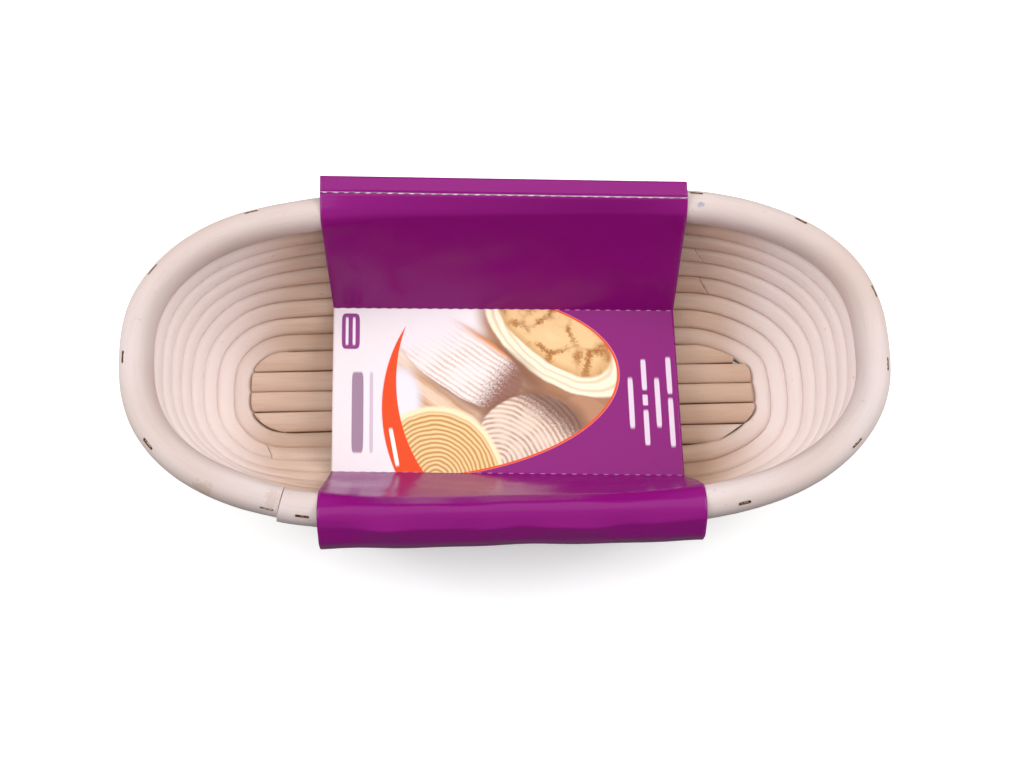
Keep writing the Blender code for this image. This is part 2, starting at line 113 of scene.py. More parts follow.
def rim_outline():
    """Evenly spaced centres of the rim, clockwise from the middle of the front."""
    turn = np.linspace(0, math.pi / 2, 400)
    along = STRAIGHT_HALF + (RIM_HALF_LENGTH - STRAIGHT_HALF) * np.sin(turn) ** (2 / OUTLINE_POWER)
    across = RIM_HALF_WIDTH * np.cos(turn) ** (2 / OUTLINE_POWER)
    quarters = [
        np.stack([-along, -across], 1), np.stack([-along, across], 1)[::-1],
        np.stack([along, across], 1), np.stack([along, -across], 1)[::-1],
    ]
    middle = np.array([[0.0, -RIM_HALF_WIDTH]])
    loop = np.concatenate([middle, *quarters, middle])
    loop[:, 1] *= 1 + RIGHT_FLARE * loop[:, 0] / RIM_HALF_LENGTH
    lengths = np.concatenate([[0], np.cumsum(np.linalg.norm(np.diff(loop, axis=0), axis=1))])
    wanted = np.linspace(0, lengths[-1], STATIONS, endpoint=False)
    return np.stack([np.interp(wanted, lengths, loop[:, axis]) for axis in (0, 1)], 1)


def wall_slopes(run, floor_slope, top_slope):
    """Slopes from turn to turn, last to the rim, whose horizontal distances add up to run."""
    run, floor_slope, top_slope = np.broadcast_arrays(run, floor_slope, top_slope)
    links = np.full(WALL_TURNS, CANE_PITCH)
    links[-1] = (CANE_PITCH + RIM_DIAMETER) / 2
    left_to_go = 1 - np.arange(WALL_TURNS) / (WALL_TURNS - 1)
    low = np.full(run.shape, 0.2)
    high = np.full(run.shape, 12.0)
    for _ in range(50):
        power = (low + high) / 2
        drop = (top_slope - floor_slope)[:, None] * left_to_go[None, :] ** power[:, None]
        slopes = np.radians(top_slope[:, None] - drop)
        too_long = (np.cos(slopes) * links).sum(axis=1) > run
        low = np.where(too_long, power, low)
        high = np.where(too_long, high, power)
    return slopes, links


rim_xy = rim_outline()
tangent = np.roll(rim_xy, -2, axis=0) - np.roll(rim_xy, 2, axis=0)
tangent /= np.linalg.norm(tangent, axis=1)[:, None]
rim_normal = np.stack([-tangent[:, 1], tangent[:, 0]], 1)
STATION_LENGTH = float(np.linalg.norm(rim_xy - np.roll(rim_xy, -1, axis=0), axis=1).sum()) / STATIONS


def wall_rings():
    """Centres of every turn, and of the rim as the last one, below every station."""
    x, y = rim_xy[:, 0], rim_xy[:, 1]
    normal_y = rim_normal[:, 1]
    floor_half = np.where((x > 0) & (y < 0), FLOOR_HALF + FLOOR_PITCH, FLOOR_HALF)
    run_to_line = (np.abs(y) - floor_half) / np.maximum(np.abs(normal_y), 0.2)
    run_at_end = np.where(x < 0, END_RUNS["left"], END_RUNS["right"] + FLOOR_PITCH / 2 * normal_y)
    run = np.maximum(run_to_line, run_at_end)
    reach = round(EASE_STRETCH / 2 / STATION_LENGTH)
    run = sum(np.roll(run, shift) for shift in range(-reach, reach + 1)) / (2 * reach + 1)
    bias = np.where(x > 0, ease((-normal_y - 0.2) / 0.6), 0.0)
    slopes_wanted = [
        WALL_SLOPES["left"][end] + (WALL_SLOPES["front_right"][end] - WALL_SLOPES["left"][end]) * bias
        for end in (0, 1)
    ]
    slopes, links = wall_slopes(run, *slopes_wanted)
    start = np.zeros((STATIONS, 1))
    inward = run[:, None] - np.concatenate([start, np.cumsum(np.cos(slopes) * links, axis=1)], axis=1)
    height = FLOOR_Z + np.concatenate([start, np.cumsum(np.sin(slopes) * links, axis=1)], axis=1)
    places = rim_xy[:, None, :] - rim_normal[:, None, :] * inward[:, :, None]
    return np.concatenate([places, height[:, :, None]], axis=2)


rings = wall_rings()
front = rim_xy[:, 1] < 0
front_order = np.argsort(rim_xy[front, 0])


def step_stack(x):
    """The canes above each other at the front's middle, where each turn steps up to the next."""
    share = float(ease((STEP_HALF - x) / (2 * STEP_HALF)))
    reach = float(np.interp(x, rim_xy[front, 0][front_order], -rim_xy[front, 1][front_order]))
    left, links = wall_slopes(np.array([reach - FLOOR_HALF]), *WALL_SLOPES["left"])
    right, _ = wall_slopes(np.array([reach - FLOOR_HALF - FLOOR_PITCH]), *WALL_SLOPES["front_right"])
    rises = [float((np.sin(side[0]) * links).sum()) for side in (right, left)]
    rim = np.array([x, -reach, FLOOR_Z + rises[0] + (rises[1] - rises[0]) * share])
    shifted = np.concatenate([[0.0], right[0][:-1]])
    slopes = shifted + (left[0] - shifted) * share
    stack = [np.array([x, -FLOOR_HALF, FLOOR_Z])]
    for index in range(WALL_TURNS - 1):
        length = FLOOR_PITCH + (CANE_PITCH - FLOOR_PITCH) * share if index == 0 else CANE_PITCH
        stack.append(stack[-1] + length * np.array([0, -math.cos(slopes[index]), math.sin(slopes[index])]))
    room = np.linalg.norm(rim - stack[-1]) - CANE_RADIUS - RIM_RADIUS - 2 * LAYING_GAP
    last_radius = min(room / 2, CANE_RADIUS)
    toward = (rim - stack[-1]) / np.linalg.norm(rim - stack[-1])
    stack.append(stack[-1] + toward * (CANE_RADIUS + LAYING_GAP + last_radius))
    return stack + [rim], last_radius


def unit(vector):
    return vector / np.linalg.norm(vector)


def coil_line(every=2, thinnest=0.22):
    """The whole coil as rows of (point, direction up the wall, thickness, turns gone by)."""
    step_places = np.linspace(STEP_HALF, -STEP_HALF, 33)
    stacks = [step_stack(x) for x in step_places]
    line = []
    for x in np.arange(0.100, STEP_HALF, -0.0014):
        line.append((np.array([x, -FLOOR_HALF, FLOOR_Z]), np.array([0.0, -1.0, 0.0]), 1.0, 0.0))
    for level in range(WALL_TURNS + 1):
        for places, last_radius in stacks:
            thickness = last_radius / CANE_RADIUS if level == WALL_TURNS else 1.0
            if thickness < thinnest:
                continue
            above = places[level + 1] - places[level]
            below = places[level] - places[level - 1] if level else np.array([0.0, -CANE_PITCH, 0.0])
            line.append((places[level], unit(above + below), thickness, float(level)))
        if level == WALL_TURNS:
            break
        for station in range(0, STATIONS, every):
            point = rings[station, level]
            if point[1] < 0 and abs(point[0]) < STEP_HALF + 0.0016:
                continue
            above = rings[station, level + 1] - point
            inward = np.array([*rim_normal[station], 0.0]) * CANE_PITCH
            below = point - rings[station, level - 1] if level else inward
            line.append((point, unit(above + below), 1.0, level + station / STATIONS))
    return line


def put(target, value):
    """Links a socket to this input, or sets a constant on it."""
    if isinstance(value, bpy.types.NodeSocket):
        target.id_data.links.new(value, target)
    else:
        target.default_value = value


def put_all(made, **values):
    """Sets a node's inputs by name."""
    for key, value in values.items():
        put(made.inputs[key.replace("_", " ")], value)


def node(tree, kind, settings=None, **values):
    """A node with its properties set and its inputs given values or linked by name."""
    made = tree.nodes.new(kind)
    for key, value in (settings or {}).items():
        setattr(made, key, value)
    put_all(made, **values)
    return made


def output(tree, kind, settings=None, **values):
    """The first output of a new node."""
    return node(tree, kind, settings, **values).outputs[0]


def calculated(kind, operation, values):
    """A maths node in the tree of the first socket among the values."""
    tree = next(value.id_data for value in values if isinstance(value, bpy.types.NodeSocket))
    made = node(tree, kind, {"operation": operation})
    for target, value in zip(made.inputs, values):
        put(target, value)
    return made


def maths(operation, *values):
    return calculated("ShaderNodeMath", operation, values).outputs[0]


def vector_maths(operation, *values):
    made = calculated("ShaderNodeVectorMath", operation, values)
    return made.outputs[1] if operation == "DISTANCE" else made.outputs[0]


for sign, operation in (("add", "ADD"), ("sub", "SUBTRACT"), ("mul", "MULTIPLY"), ("truediv", "DIVIDE"),
                        ("pow", "POWER")):
    # Arithmetic between sockets, or with numbers, makes the Math node for it.
    setattr(bpy.types.NodeSocket, f"__{sign}__", lambda one, two, kind=operation: maths(kind, one, two))
    setattr(bpy.types.NodeSocket, f"__r{sign}__", lambda two, one, kind=operation: maths(kind, one, two))
bpy.types.NodeSocket.__abs__ = lambda value: maths("ABSOLUTE", value)


def noise_at(place, scale, detail, roughness=0.5):
    return output(place.id_data, "ShaderNodeTexNoise", Vector=place, Scale=scale, Detail=detail,
                  Roughness=roughness)


def new_group(kind, name, taken, made):
    """A node group and the values given to it. Its sockets are (type, name) or (type, name, default)."""
    tree = bpy.data.node_groups.new(name, kind + "NodeTree")
    for way, sockets in (("INPUT", taken), ("OUTPUT", made)):
        for socket_type, label, *default in sockets:
            socket = tree.interface.new_socket(label, in_out=way, socket_type="NodeSocket" + socket_type)
            for value in default:
                socket.default_value = value
    return tree, tree.nodes.new("NodeGroupInput").outputs


def finish_group(tree, *values):
    finished = tree.nodes.new("NodeGroupOutput")
    for target, value in zip(finished.inputs, values):
        put(target, value)
    return tree


def grouped(tree, group, **values):
    """The group as a node in this tree."""
    made = tree.nodes.new("ShaderNodeGroup")
    made.node_tree = group
    put_all(made, **values)
    return made


def new_material(name):
    material = bpy.data.materials.new(name)
    material.use_nodes = True
    return material, material.node_tree, material.node_tree.nodes["Principled BSDF"]


def object_place(tree):
    return node(tree, "ShaderNodeTexCoord").outputs["Object"]


def relief(height, distance, strength=1.0):
    return output(height.id_data, "ShaderNodeBump", Height=height, Strength=strength, Distance=distance)


def add_object(name, data):
    made = bpy.data.objects.new(name, data)
    bpy.context.scene.collection.objects.link(made)
    return made


def evaluated_mesh(piece):
    return bpy.data.meshes.new_from_object(piece.evaluated_get(bpy.context.evaluated_depsgraph_get()))


def mesh_from(form, name, *materials):
    """The bmesh as a mesh with these materials. It frees the bmesh."""
    mesh = bpy.data.meshes.new(name)
    form.to_mesh(mesh)
    form.free()
    for material in materials:
        mesh.materials.append(material)
    return mesh


def cane_tree():
    """Geometry Nodes: a squarish, slightly uneven section swept along a line of points."""
    tree, given = new_group("Geometry", "cane_along_its_line", (
        ("Geometry", "Line"), ("Float", "Radius"), ("Float", "Squareness"), ("Float", "Unevenness"),
        ("Float", "Seed"), ("Int", "Sides"), ("Material", "Material")), [("Geometry", "Cane")])
    curve = output(tree, "GeometryNodeMeshToCurve", Mesh=given["Line"])
    across = node(tree, "GeometryNodeInputNamedAttribute", {"data_type": "FLOAT_VECTOR"}, Name="across")
    facing = output(tree, "GeometryNodeSetCurveNormal", {"mode": "FREE"}, Curve=curve,
                    Normal=across.outputs[0])
    length = node(tree, "GeometryNodeSplineParameter")
    measured = output(tree, "GeometryNodeStoreNamedAttribute", {"data_type": "FLOAT", "domain": "POINT"},
                      Geometry=facing, Name="along", Value=length.outputs["Length"])
    circle = output(tree, "GeometryNodeCurvePrimitiveCircle", Resolution=given["Sides"], Radius=1.0)
    place = output(tree, "GeometryNodeInputPosition")
    parts = node(tree, "ShaderNodeSeparateXYZ", Vector=place)
    powers = [abs(part) ** given["Squareness"] for part in parts.outputs[:2]]
    norm = maths("ADD", *powers) ** (1.0 / given["Squareness"])
    pressed = vector_maths("SCALE", place)
    put_all(pressed.node, Scale=1.0 / norm)
    section = node(tree, "GeometryNodeSetPosition", Geometry=circle, Position=pressed)
    around = node(tree, "GeometryNodeStoreNamedAttribute", {"data_type": "FLOAT_VECTOR", "domain": "POINT"},
                  Geometry=section.outputs[0], Name="around", Value=place)
    thick = node(tree, "GeometryNodeInputNamedAttribute", {"data_type": "FLOAT"}, Name="thick")
    swept = node(tree, "GeometryNodeCurveToMesh", Curve=measured,
                 Profile_Curve=around.outputs[0], Scale=thick.outputs[0] * given["Radius"], Fill_Caps=True)
    noise = output(tree, "ShaderNodeTexNoise", {"noise_dimensions": "4D"}, Vector=place, W=given["Seed"],
                   Scale=45.0, Detail=3.0)
    swell = (noise - 0.5) * given["Unevenness"]
    outward = output(tree, "GeometryNodeInputNormal")
    offset = vector_maths("SCALE", outward)
    put_all(offset.node, Scale=swell)
    uneven = node(tree, "GeometryNodeSetPosition", Geometry=swept.outputs[0], Offset=offset)
    smooth = output(tree, "GeometryNodeSetShadeSmooth", Geometry=uneven.outputs[0])
    real = output(tree, "GeometryNodeRealizeInstances", Geometry=smooth)
    painted = output(tree, "GeometryNodeSetMaterial", Geometry=real, Material=given["Material"])
    return finish_group(tree, painted)


def run_tree(name, mesh, tree, **values):
    """A new piece: the mesh that a Geometry Nodes tree makes from this one."""
    holder = add_object(name + "_source", mesh)
    modifier = holder.modifiers.new("make", "NODES")
    modifier.node_group = tree
    for item in tree.interface.items_tree:
        if item.in_out == "INPUT" and item.name.replace(" ", "_") in values:
            modifier[item.identifier] = values[item.name.replace(" ", "_")]
    made = evaluated_mesh(holder)
    bpy.data.objects.remove(holder)
    return add_object(name, made)


def line_mesh(name, line):
    """Points joined by edges, with the section's direction and thickness on each."""
    mesh = bpy.data.meshes.new(name)
    edges = [(index, index + 1) for index in range(len(line) - 1)]
    mesh.from_pydata([entry[0] for entry in line], edges, [])
    across = mesh.attributes.new("across", "FLOAT_VECTOR", "POINT")
    across.data.foreach_set("vector", np.array([entry[1] for entry in line], np.float32).ravel())
    thick = mesh.attributes.new("thick", "FLOAT", "POINT")
    thick.data.foreach_set("value", np.array([entry[2] for entry in line], np.float32))
    return mesh


def mix_colour(amount, under, over):
    made = node(amount.id_data, "ShaderNodeMix", {"data_type": "RGBA"})
    for index, value in ((0, amount), (6, under), (7, over)):
        put(made.inputs[index], value)
    return made.outputs[2]


def ramp(value, low, high):
    """0 below low, 1 above high, smooth between."""
    made = node(value.id_data, "ShaderNodeMapRange", {"interpolation_type": "SMOOTHSTEP"})
    for target, given in zip(made.inputs, (value, low, high, 0.0, 1.0)):
        put(target, given)
    return made.outputs[0]


def rgb(red, green, blue):
    """A colour given as it is seen, 0 to 255, as a scene-linear colour."""
    return tuple((channel / 255) ** 2.2 for channel in (red, green, blue)) + (1.0,)


def cane_surface_group():
    """Shader group: fibre, tone, paling towards the ends and top (partly bleaching, partly painted light),
    painted shade in the joints, and flecks of cane, from where a point is on its length.
    """
    # The bleached colour and its amount paint the cane paler towards the ends and top: partly real bleaching,
    # partly painted light.
    # The joint colour paints shade into the crevices between canes, and also colours the flecks.
    tree, given = new_group("Shader", "cane_surface", (
        ("Color", "Pale"), ("Color", "Tan"), ("Color", "Joint"), ("Color", "Bleached", rgb(240, 226, 222)),
        ("Float", "Tan Amount", 0.5), ("Float", "Joint Width", 0.1), ("Float", "Fibre", 0.5),
        ("Float", "Flecks", 0.3), ("Float", "Bleaching", 0.0)),
        (("Color", "Color"), ("Float", "Roughness"), ("Float", "Height")))
    along = node(tree, "ShaderNodeAttribute", {"attribute_name": "along"}).outputs["Fac"]
    around = node(tree, "ShaderNodeAttribute", {"attribute_name": "around"}).outputs["Vector"]
    sides = node(tree, "ShaderNodeSeparateXYZ", Vector=around)
    place = object_place(tree)

    def noise_along(per_length, per_round, detail, rough=0.6):
        """Noise stretched along the cane: features per metre of length and per radius round it."""
        vector = output(tree, "ShaderNodeCombineXYZ", X=along * per_length, Y=sides.outputs[0] * per_round,
                        Z=sides.outputs[1] * per_round)
        return noise_at(vector, 1.0, detail, rough)

    fibre = noise_along(70.0, 9.0, 4.0, 0.7)
    coarse = noise_along(22.0, 2.2, 2.0)
    patches = noise_along(9.0, 0.5, 3.0)
    wide = noise_at(place, 16.0, 2.0)
    tone = (ramp(patches, 0.36, 0.68) + ramp(wide, 0.4, 0.68)) * given["Tan Amount"]
    colour = mix_colour(tone, given["Pale"], given["Tan"])
    streak = ramp(fibre, 0.5, 0.78) * given["Fibre"]
    colour = mix_colour(streak, colour, given["Tan"])
    broad = ramp(coarse, 0.52, 0.75) * (given["Fibre"] * 0.6)
    colour = mix_colour(broad, colour, given["Tan"])
    # Paler towards the basket's ends and upper turns, by place: partly real bleaching of the cane, partly
    # painted light, with the ends and top lit paler and the middle near the sleeve in its shade.
    parts = node(tree, "ShaderNodeSeparateXYZ", Vector=place)
    outward = abs(parts.outputs["X"]) + parts.outputs["Z"] * 0.2 + (wide - 0.5) * 0.030
    bleach_and_light = ramp(outward, 0.084, 0.118) * given["Bleaching"]
    colour = mix_colour(bleach_and_light, colour, given["Bleached"])
    # Darker at the cane's sides, where the turns press together: painted shade in the crevices, weaker where
    # the cane is painted paler.
    beside = abs(sides.outputs[0])
    ragged = beside + (coarse - 0.5) * 0.12
    crevice_shade = ramp(ragged, 1.0 - given["Joint Width"], 1.0) * (1.0 - bleach_and_light * 0.45)
    colour = mix_colour(crevice_shade, colour, given["Joint"])
    spots = noise_at(place, 420.0, 2.0)
    fleck = ramp(spots, 0.70, 0.80) * given["Flecks"]
    colour = mix_colour(fleck, colour, given["Joint"])
    rough = 0.66 + fibre * 0.24
    height = fibre * 0.6 - fleck * 0.8 + coarse * 0.5
    return finish_group(tree, colour, rough, height)


cane_surface = cane_surface_group()
cane_sweep = cane_tree()


def cane_material(name, bump, **values):
    """A Principled material fed by the cane group. Its bump distance is in metres."""
    material, tree, shader = new_material(name)
    surface = grouped(tree, cane_surface, **values).outputs
    put_all(shader, Base_Color=surface["Color"], Roughness=surface["Roughness"],
            Normal=relief(surface["Height"], bump), Specular_IOR_Level=0.3)
    return material


def cut_fibre_material():
    """End grain, and the torn sides of a staple's slot: open brown pores."""
    material, tree, shader = new_material("cut_fibre")
    place = object_place(tree)
    pores = node(tree, "ShaderNodeTexVoronoi", Vector=place, Scale=3200.0).outputs["Distance"]
    stain = noise_at(place, 500.0, 3.0)
    colour = mix_colour(ramp(pores, 0.1, 0.5), rgb(120, 84, 58), rgb(186, 148, 116))
    colour = mix_colour(ramp(stain, 0.45, 0.7), colour, rgb(96, 64, 44))
    put_all(shader, Base_Color=colour, Roughness=0.9, Normal=relief(pores, 0.0001))
    return material


# Its joint colour is painted shade in the crevices between turns.
# The wall is painted paler towards its ends and top: partly real bleaching, partly painted light.
wall_cane = cane_material("wall_cane", 0.00012, Pale=rgb(222, 196, 178), Tan=rgb(194, 160, 136),
                          Joint=rgb(126, 88, 62), Tan_Amount=0.5, Fibre=0.6, Bleaching=0.9)
cut_fibre = cut_fibre_material()


def sweep(name, line, material, radius, squareness, sides=24, unevenness=0.0002, seed=0.0):
    return run_tree(name, line_mesh(name, line), cane_sweep, Radius=radius, Squareness=squareness,
                    Sides=sides, Unevenness=unevenness, Seed=seed, Material=material)


def saw_off(piece, point, outward, near):
    """Cuts an end off on a slanting plane. near picks the vertices of that end."""
    form = bmesh.new()
    form.from_mesh(piece.data)
    layer = form.verts.layers.float["along"]
    chosen = {vert for vert in form.verts if near(vert[layer])}
    faces = [face for face in form.faces if all(vert in chosen for vert in face.verts)]
    edges = [edge for edge in form.edges if all(vert in chosen for vert in edge.verts)]
    cut = bmesh.ops.bisect_plane(form, geom=[*chosen, *edges, *faces], dist=1e-7, plane_co=point,
                                 plane_no=outward, clear_outer=True)
    rim = [item for item in cut["geom_cut"] if isinstance(item, bmesh.types.BMEdge) and item.is_boundary]
    filled = bmesh.ops.edgeloop_fill(form, edges=rim)
    for face in filled["faces"]:
        face.material_index = 1
        face.smooth = False
    form.to_mesh(piece.data)
    form.free()


whole_coil = coil_line()
COIL_WANDER = 0.00016
SPLICE_SLANT = math.radians(52)
SPLICE_OVERRUN = 0.008
START_CUT = (Vector((0.0908, -0.0206, 0.0)), Vector((0.557, -0.830, 0.0)))
wander = np.random.default_rng(7)
shifts = [wander.uniform(0, 2 * math.pi, 3) for _ in range(WALL_TURNS + 2)]


def wandering(entry):
    """Hand laying: each turn strays a little in and out of the wall."""
    point, across, thick, turns = entry
    phase = shifts[int(turns)]
    angle = 2 * math.pi * turns
    waves = zip((1.0, 0.7, 0.4), (3, 7, 13), phase)
    stray = sum(height * math.sin(count * angle + start) for height, count, start in waves)
    level = min(int(turns), WALL_TURNS - 1)
    out = np.cross(across, unit(np.array([-point[1] * 4, point[0], 0.0]) + 1e-9))
    return point + unit(out) * stray * COIL_WANDER * min(1.0, level / 2), across, thick, turns


overrun = SPLICE_OVERRUN / (STATION_LENGTH * STATIONS)
strayed_coil = [wandering(entry) for entry in whole_coil]
for number in range(len(SPLICES) + 1):
    first = SPLICES[number - 1] - overrun if number > 0 else -1.0
    last = SPLICES[number] + overrun if number < len(SPLICES) else WALL_TURNS + 1.0
    line = [entry for entry in strayed_coil if first < entry[3] < last]
    cane = sweep(f"coil_cane_{number + 1}_fine", line, wall_cane, CANE_RADIUS, 3.1, seed=float(number))
    cane.data.materials.append(cut_fibre)
    longest = float(sum(np.linalg.norm(b[0] - a[0]) for a, b in zip(line, line[1:])))
    for splice, at_start in ((first + overrun, True), (last - overrun, False)):
        if not 0 < splice < WALL_TURNS:
            continue
        here = min(range(len(line)), key=lambda index: abs(line[index][3] - splice))
        way = Vector(line[here + 1][0] - line[here - 1][0]).normalized()
        up_wall = Vector(line[here][1])
        slanted = (way * math.sin(SPLICE_SLANT) + up_wall * math.cos(SPLICE_SLANT)).normalized()
        outward = -slanted if at_start else slanted
        point = Vector(line[here][0]) - outward * 0.00008
        span = 2.6 * SPLICE_OVERRUN
        near = (lambda at: at < span) if at_start else (lambda at: at > longest - span)
        saw_off(cane, point, outward, near)
    if number == 0:
        saw_off(cane, *START_CUT, lambda at: at < 0.03)
    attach(cane, BASKET)
    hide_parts(f"coil_cane_{number + 1}")

# ---------------------------------------------------------------------------------------------
# Floor. Straight lengths of the same cane laid side by side, their ends pared to the curve of
# the first turn so that the floor closes without a step.
# ---------------------------------------------------------------------------------------------
PARING_GAP = 0.00012
# Its joint colour is painted shade in the crevices between strips.
floor_cane = cane_material("floor_cane", 0.00014, Pale=rgb(226, 198, 180), Tan=rgb(200, 166, 142),
                           Joint=rgb(140, 104, 78), Tan_Amount=0.5, Fibre=0.8)
inner_edge = rings[:, 0, :2] - rim_normal * (CANE_RADIUS + PARING_GAP)
outline = inner_edge[::4]
prism = bmesh.new()
bottom = [prism.verts.new((x, y, FLOOR_Z - 0.02)) for x, y in outline]
base = prism.faces.new(bottom)
raised = bmesh.ops.extrude_face_region(prism, geom=[base])
for vert in [item for item in raised["geom"] if isinstance(item, bmesh.types.BMVert)]:
    vert.co.z += 0.04
bmesh.ops.recalc_face_normals(prism, faces=prism.faces)
floor_outline = add_object("floor_outline", mesh_from(prism, "floor_outline", cut_fibre))


def carved(piece, cutter, operation):
    """The piece as a plain mesh after a Boolean, the new faces with the cutter's material."""
    boolean = piece.modifiers.new("carve", "BOOLEAN")
    boolean.operation = operation
    boolean.solver = "EXACT"
    boolean.material_mode = "TRANSFER"
    boolean.object = cutter
    made = evaluated_mesh(piece)
    piece.modifiers.clear()
    piece.data = made


for index in range(FLOOR_STRIPS):
    low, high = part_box(f"floor_strip_{index + 1}")
    y = (low.y + high.y) / 2
    places = np.arange(low.x - 0.02, high.x + 0.02, 0.0014)
    stray = 0.00012 * np.sin(places * 70 + index * 2.1)
    line = [(np.array([x, y + dy, FLOOR_Z]), np.array([0.0, -1.0, 0.0]), 1.0, 0.0)
            for x, dy in zip(places, stray)]
    strip = sweep(f"floor_strip_{index + 1}_fine", line, floor_cane, FLOOR_PITCH / 2 + 0.00004, 4.4,
                  seed=10.0 + index)
    carved(strip, floor_outline, "INTERSECT")
    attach(strip, BASKET)
    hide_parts(f"floor_strip_{index + 1}")
bpy.data.objects.remove(floor_outline)

# ---------------------------------------------------------------------------------------------
# Rim hoop. One thicker peeled cane bent round and butted at front left, the later end left a
# little proud. Its bark side is scraped pale, with a chafed patch and a few dark flecks.
# ---------------------------------------------------------------------------------------------
RIM_JOINT = 0.125
JOINT_GAP = 0.00012
PROUD = 0.0006
THIN_END = 0.93
END_FADE = 0.014
rim_cane = cane_material("rim_cane", 0.00010, Pale=rgb(214, 199, 197), Tan=rgb(198, 176, 166),
                         Joint=rgb(170, 138, 116), Tan_Amount=0.42, Joint_Width=0.0, Fibre=0.5, Flecks=0.45)


def rim_centre(station):
    """Centre of the rim at any station, part stations included."""
    whole = int(math.floor(station))
    share = station - whole
    ends = []
    for index in (whole % STATIONS, (whole + 1) % STATIONS):
        point = rings[index, WALL_TURNS]
        if point[1] < 0 and abs(point[0]) <= STEP_HALF:
            point = step_stack(point[0])[0][-1]
        ends.append(point)
    return ends[0] * (1 - share) + ends[1] * share


joint_station = RIM_JOINT * STATIONS
rim_length = STATION_LENGTH * STATIONS
rim_line = []
for walked in np.linspace(JOINT_GAP, rim_length - JOINT_GAP, STATIONS // 2):
    station = joint_station + walked / STATION_LENGTH
    to_go = rim_length - walked
    outward = np.array([*rim_normal[int(round(station)) % STATIONS], 0.0])
    rise = PROUD * float(ease(1 - to_go / END_FADE))
    thick = 1 - (1 - THIN_END) * float(ease(1 - walked / END_FADE))
    stray = 0.00018 * math.sin(station / 31) + 0.00012 * math.sin(station / 13 + 1)
    rim_line.append((rim_centre(station) + outward * (rise + stray), outward, thick, 0.0))
rim = sweep("rim_hoop_fine", rim_line, rim_cane, RIM_RADIUS, 2.15, sides=32, unevenness=0.0005, seed=31.0)
rim.data.materials.append(cut_fibre)


def stain_and_shade_group():
    """Shader group: a patch round a point, ragged at its edge, for stains and for painted shade."""
    tree, given = new_group("Shader", "chafed_patch", (("Vector", "Middle"), ("Float", "Reach")),
                            [("Float", "Patch")])
    place = object_place(tree)
    distance = vector_maths("DISTANCE", place, given["Middle"])
    share = distance / given["Reach"]
    torn = noise_at(place, 520.0, 4.0, 0.7)
    edge = torn * 2.0 - share
    return finish_group(tree, ramp(edge, 0.1, 0.45))


stain_and_shade = stain_and_shade_group()


def add_patch(material, middle, reach, colour, strength):
    """Mixes a colour into a material's base colour round a point; used for stains and for painted shade."""
    tree = material.node_tree
    target = tree.nodes["Principled BSDF"].inputs["Base Color"]
    under = target.links[0].from_socket
    patch = grouped(tree, stain_and_shade, Middle=middle, Reach=reach).outputs[0]
    put(target, mix_colour(patch * strength, under, colour))


RIM_TOP = RIM_RADIUS * 0.8
at_joint = Vector(rim_centre(joint_station + 3.0)) + Vector((0, 0, RIM_TOP))
add_patch(rim_cane, at_joint, 0.0040, rgb(176, 150, 132), 0.35)
add_patch(rim_cane, Vector((-0.1085, -0.0500, at_joint.z + 0.002)), 0.0052, rgb(178, 150, 128), 0.45)
# Painted shade on the rim just past the sleeve's back right edge, where the card's edge shades it, tinted
# bluish purple as painted reflected light from the sleeve.
add_patch(rim_cane, Vector((0.0735, 0.0548, at_joint.z)), 0.0016, rgb(140, 136, 166), 0.6)

# ---------------------------------------------------------------------------------------------
# Rim staples. Narrow-crown wire staples shot down through the rim into the last turn. Each sits
# at the bottom of the slot that its crown has punched, the fibres round it torn and browned.
# ---------------------------------------------------------------------------------------------
STAPLE_CROWN = 0.0044
STAPLE_WIRE = 0.0007
RIM_STAPLE_LEG = 0.0138
STAPLE_SUNK = 0.0006
STAPLE_OFFSET = 0.0038
RIM_STAPLES = (0.035, 0.111, 0.130, 0.200, 0.248, 0.297, 0.357, 0.420, 0.482,
               0.545, 0.608, 0.668, 0.722, 0.762, 0.807, 0.876, 0.950)


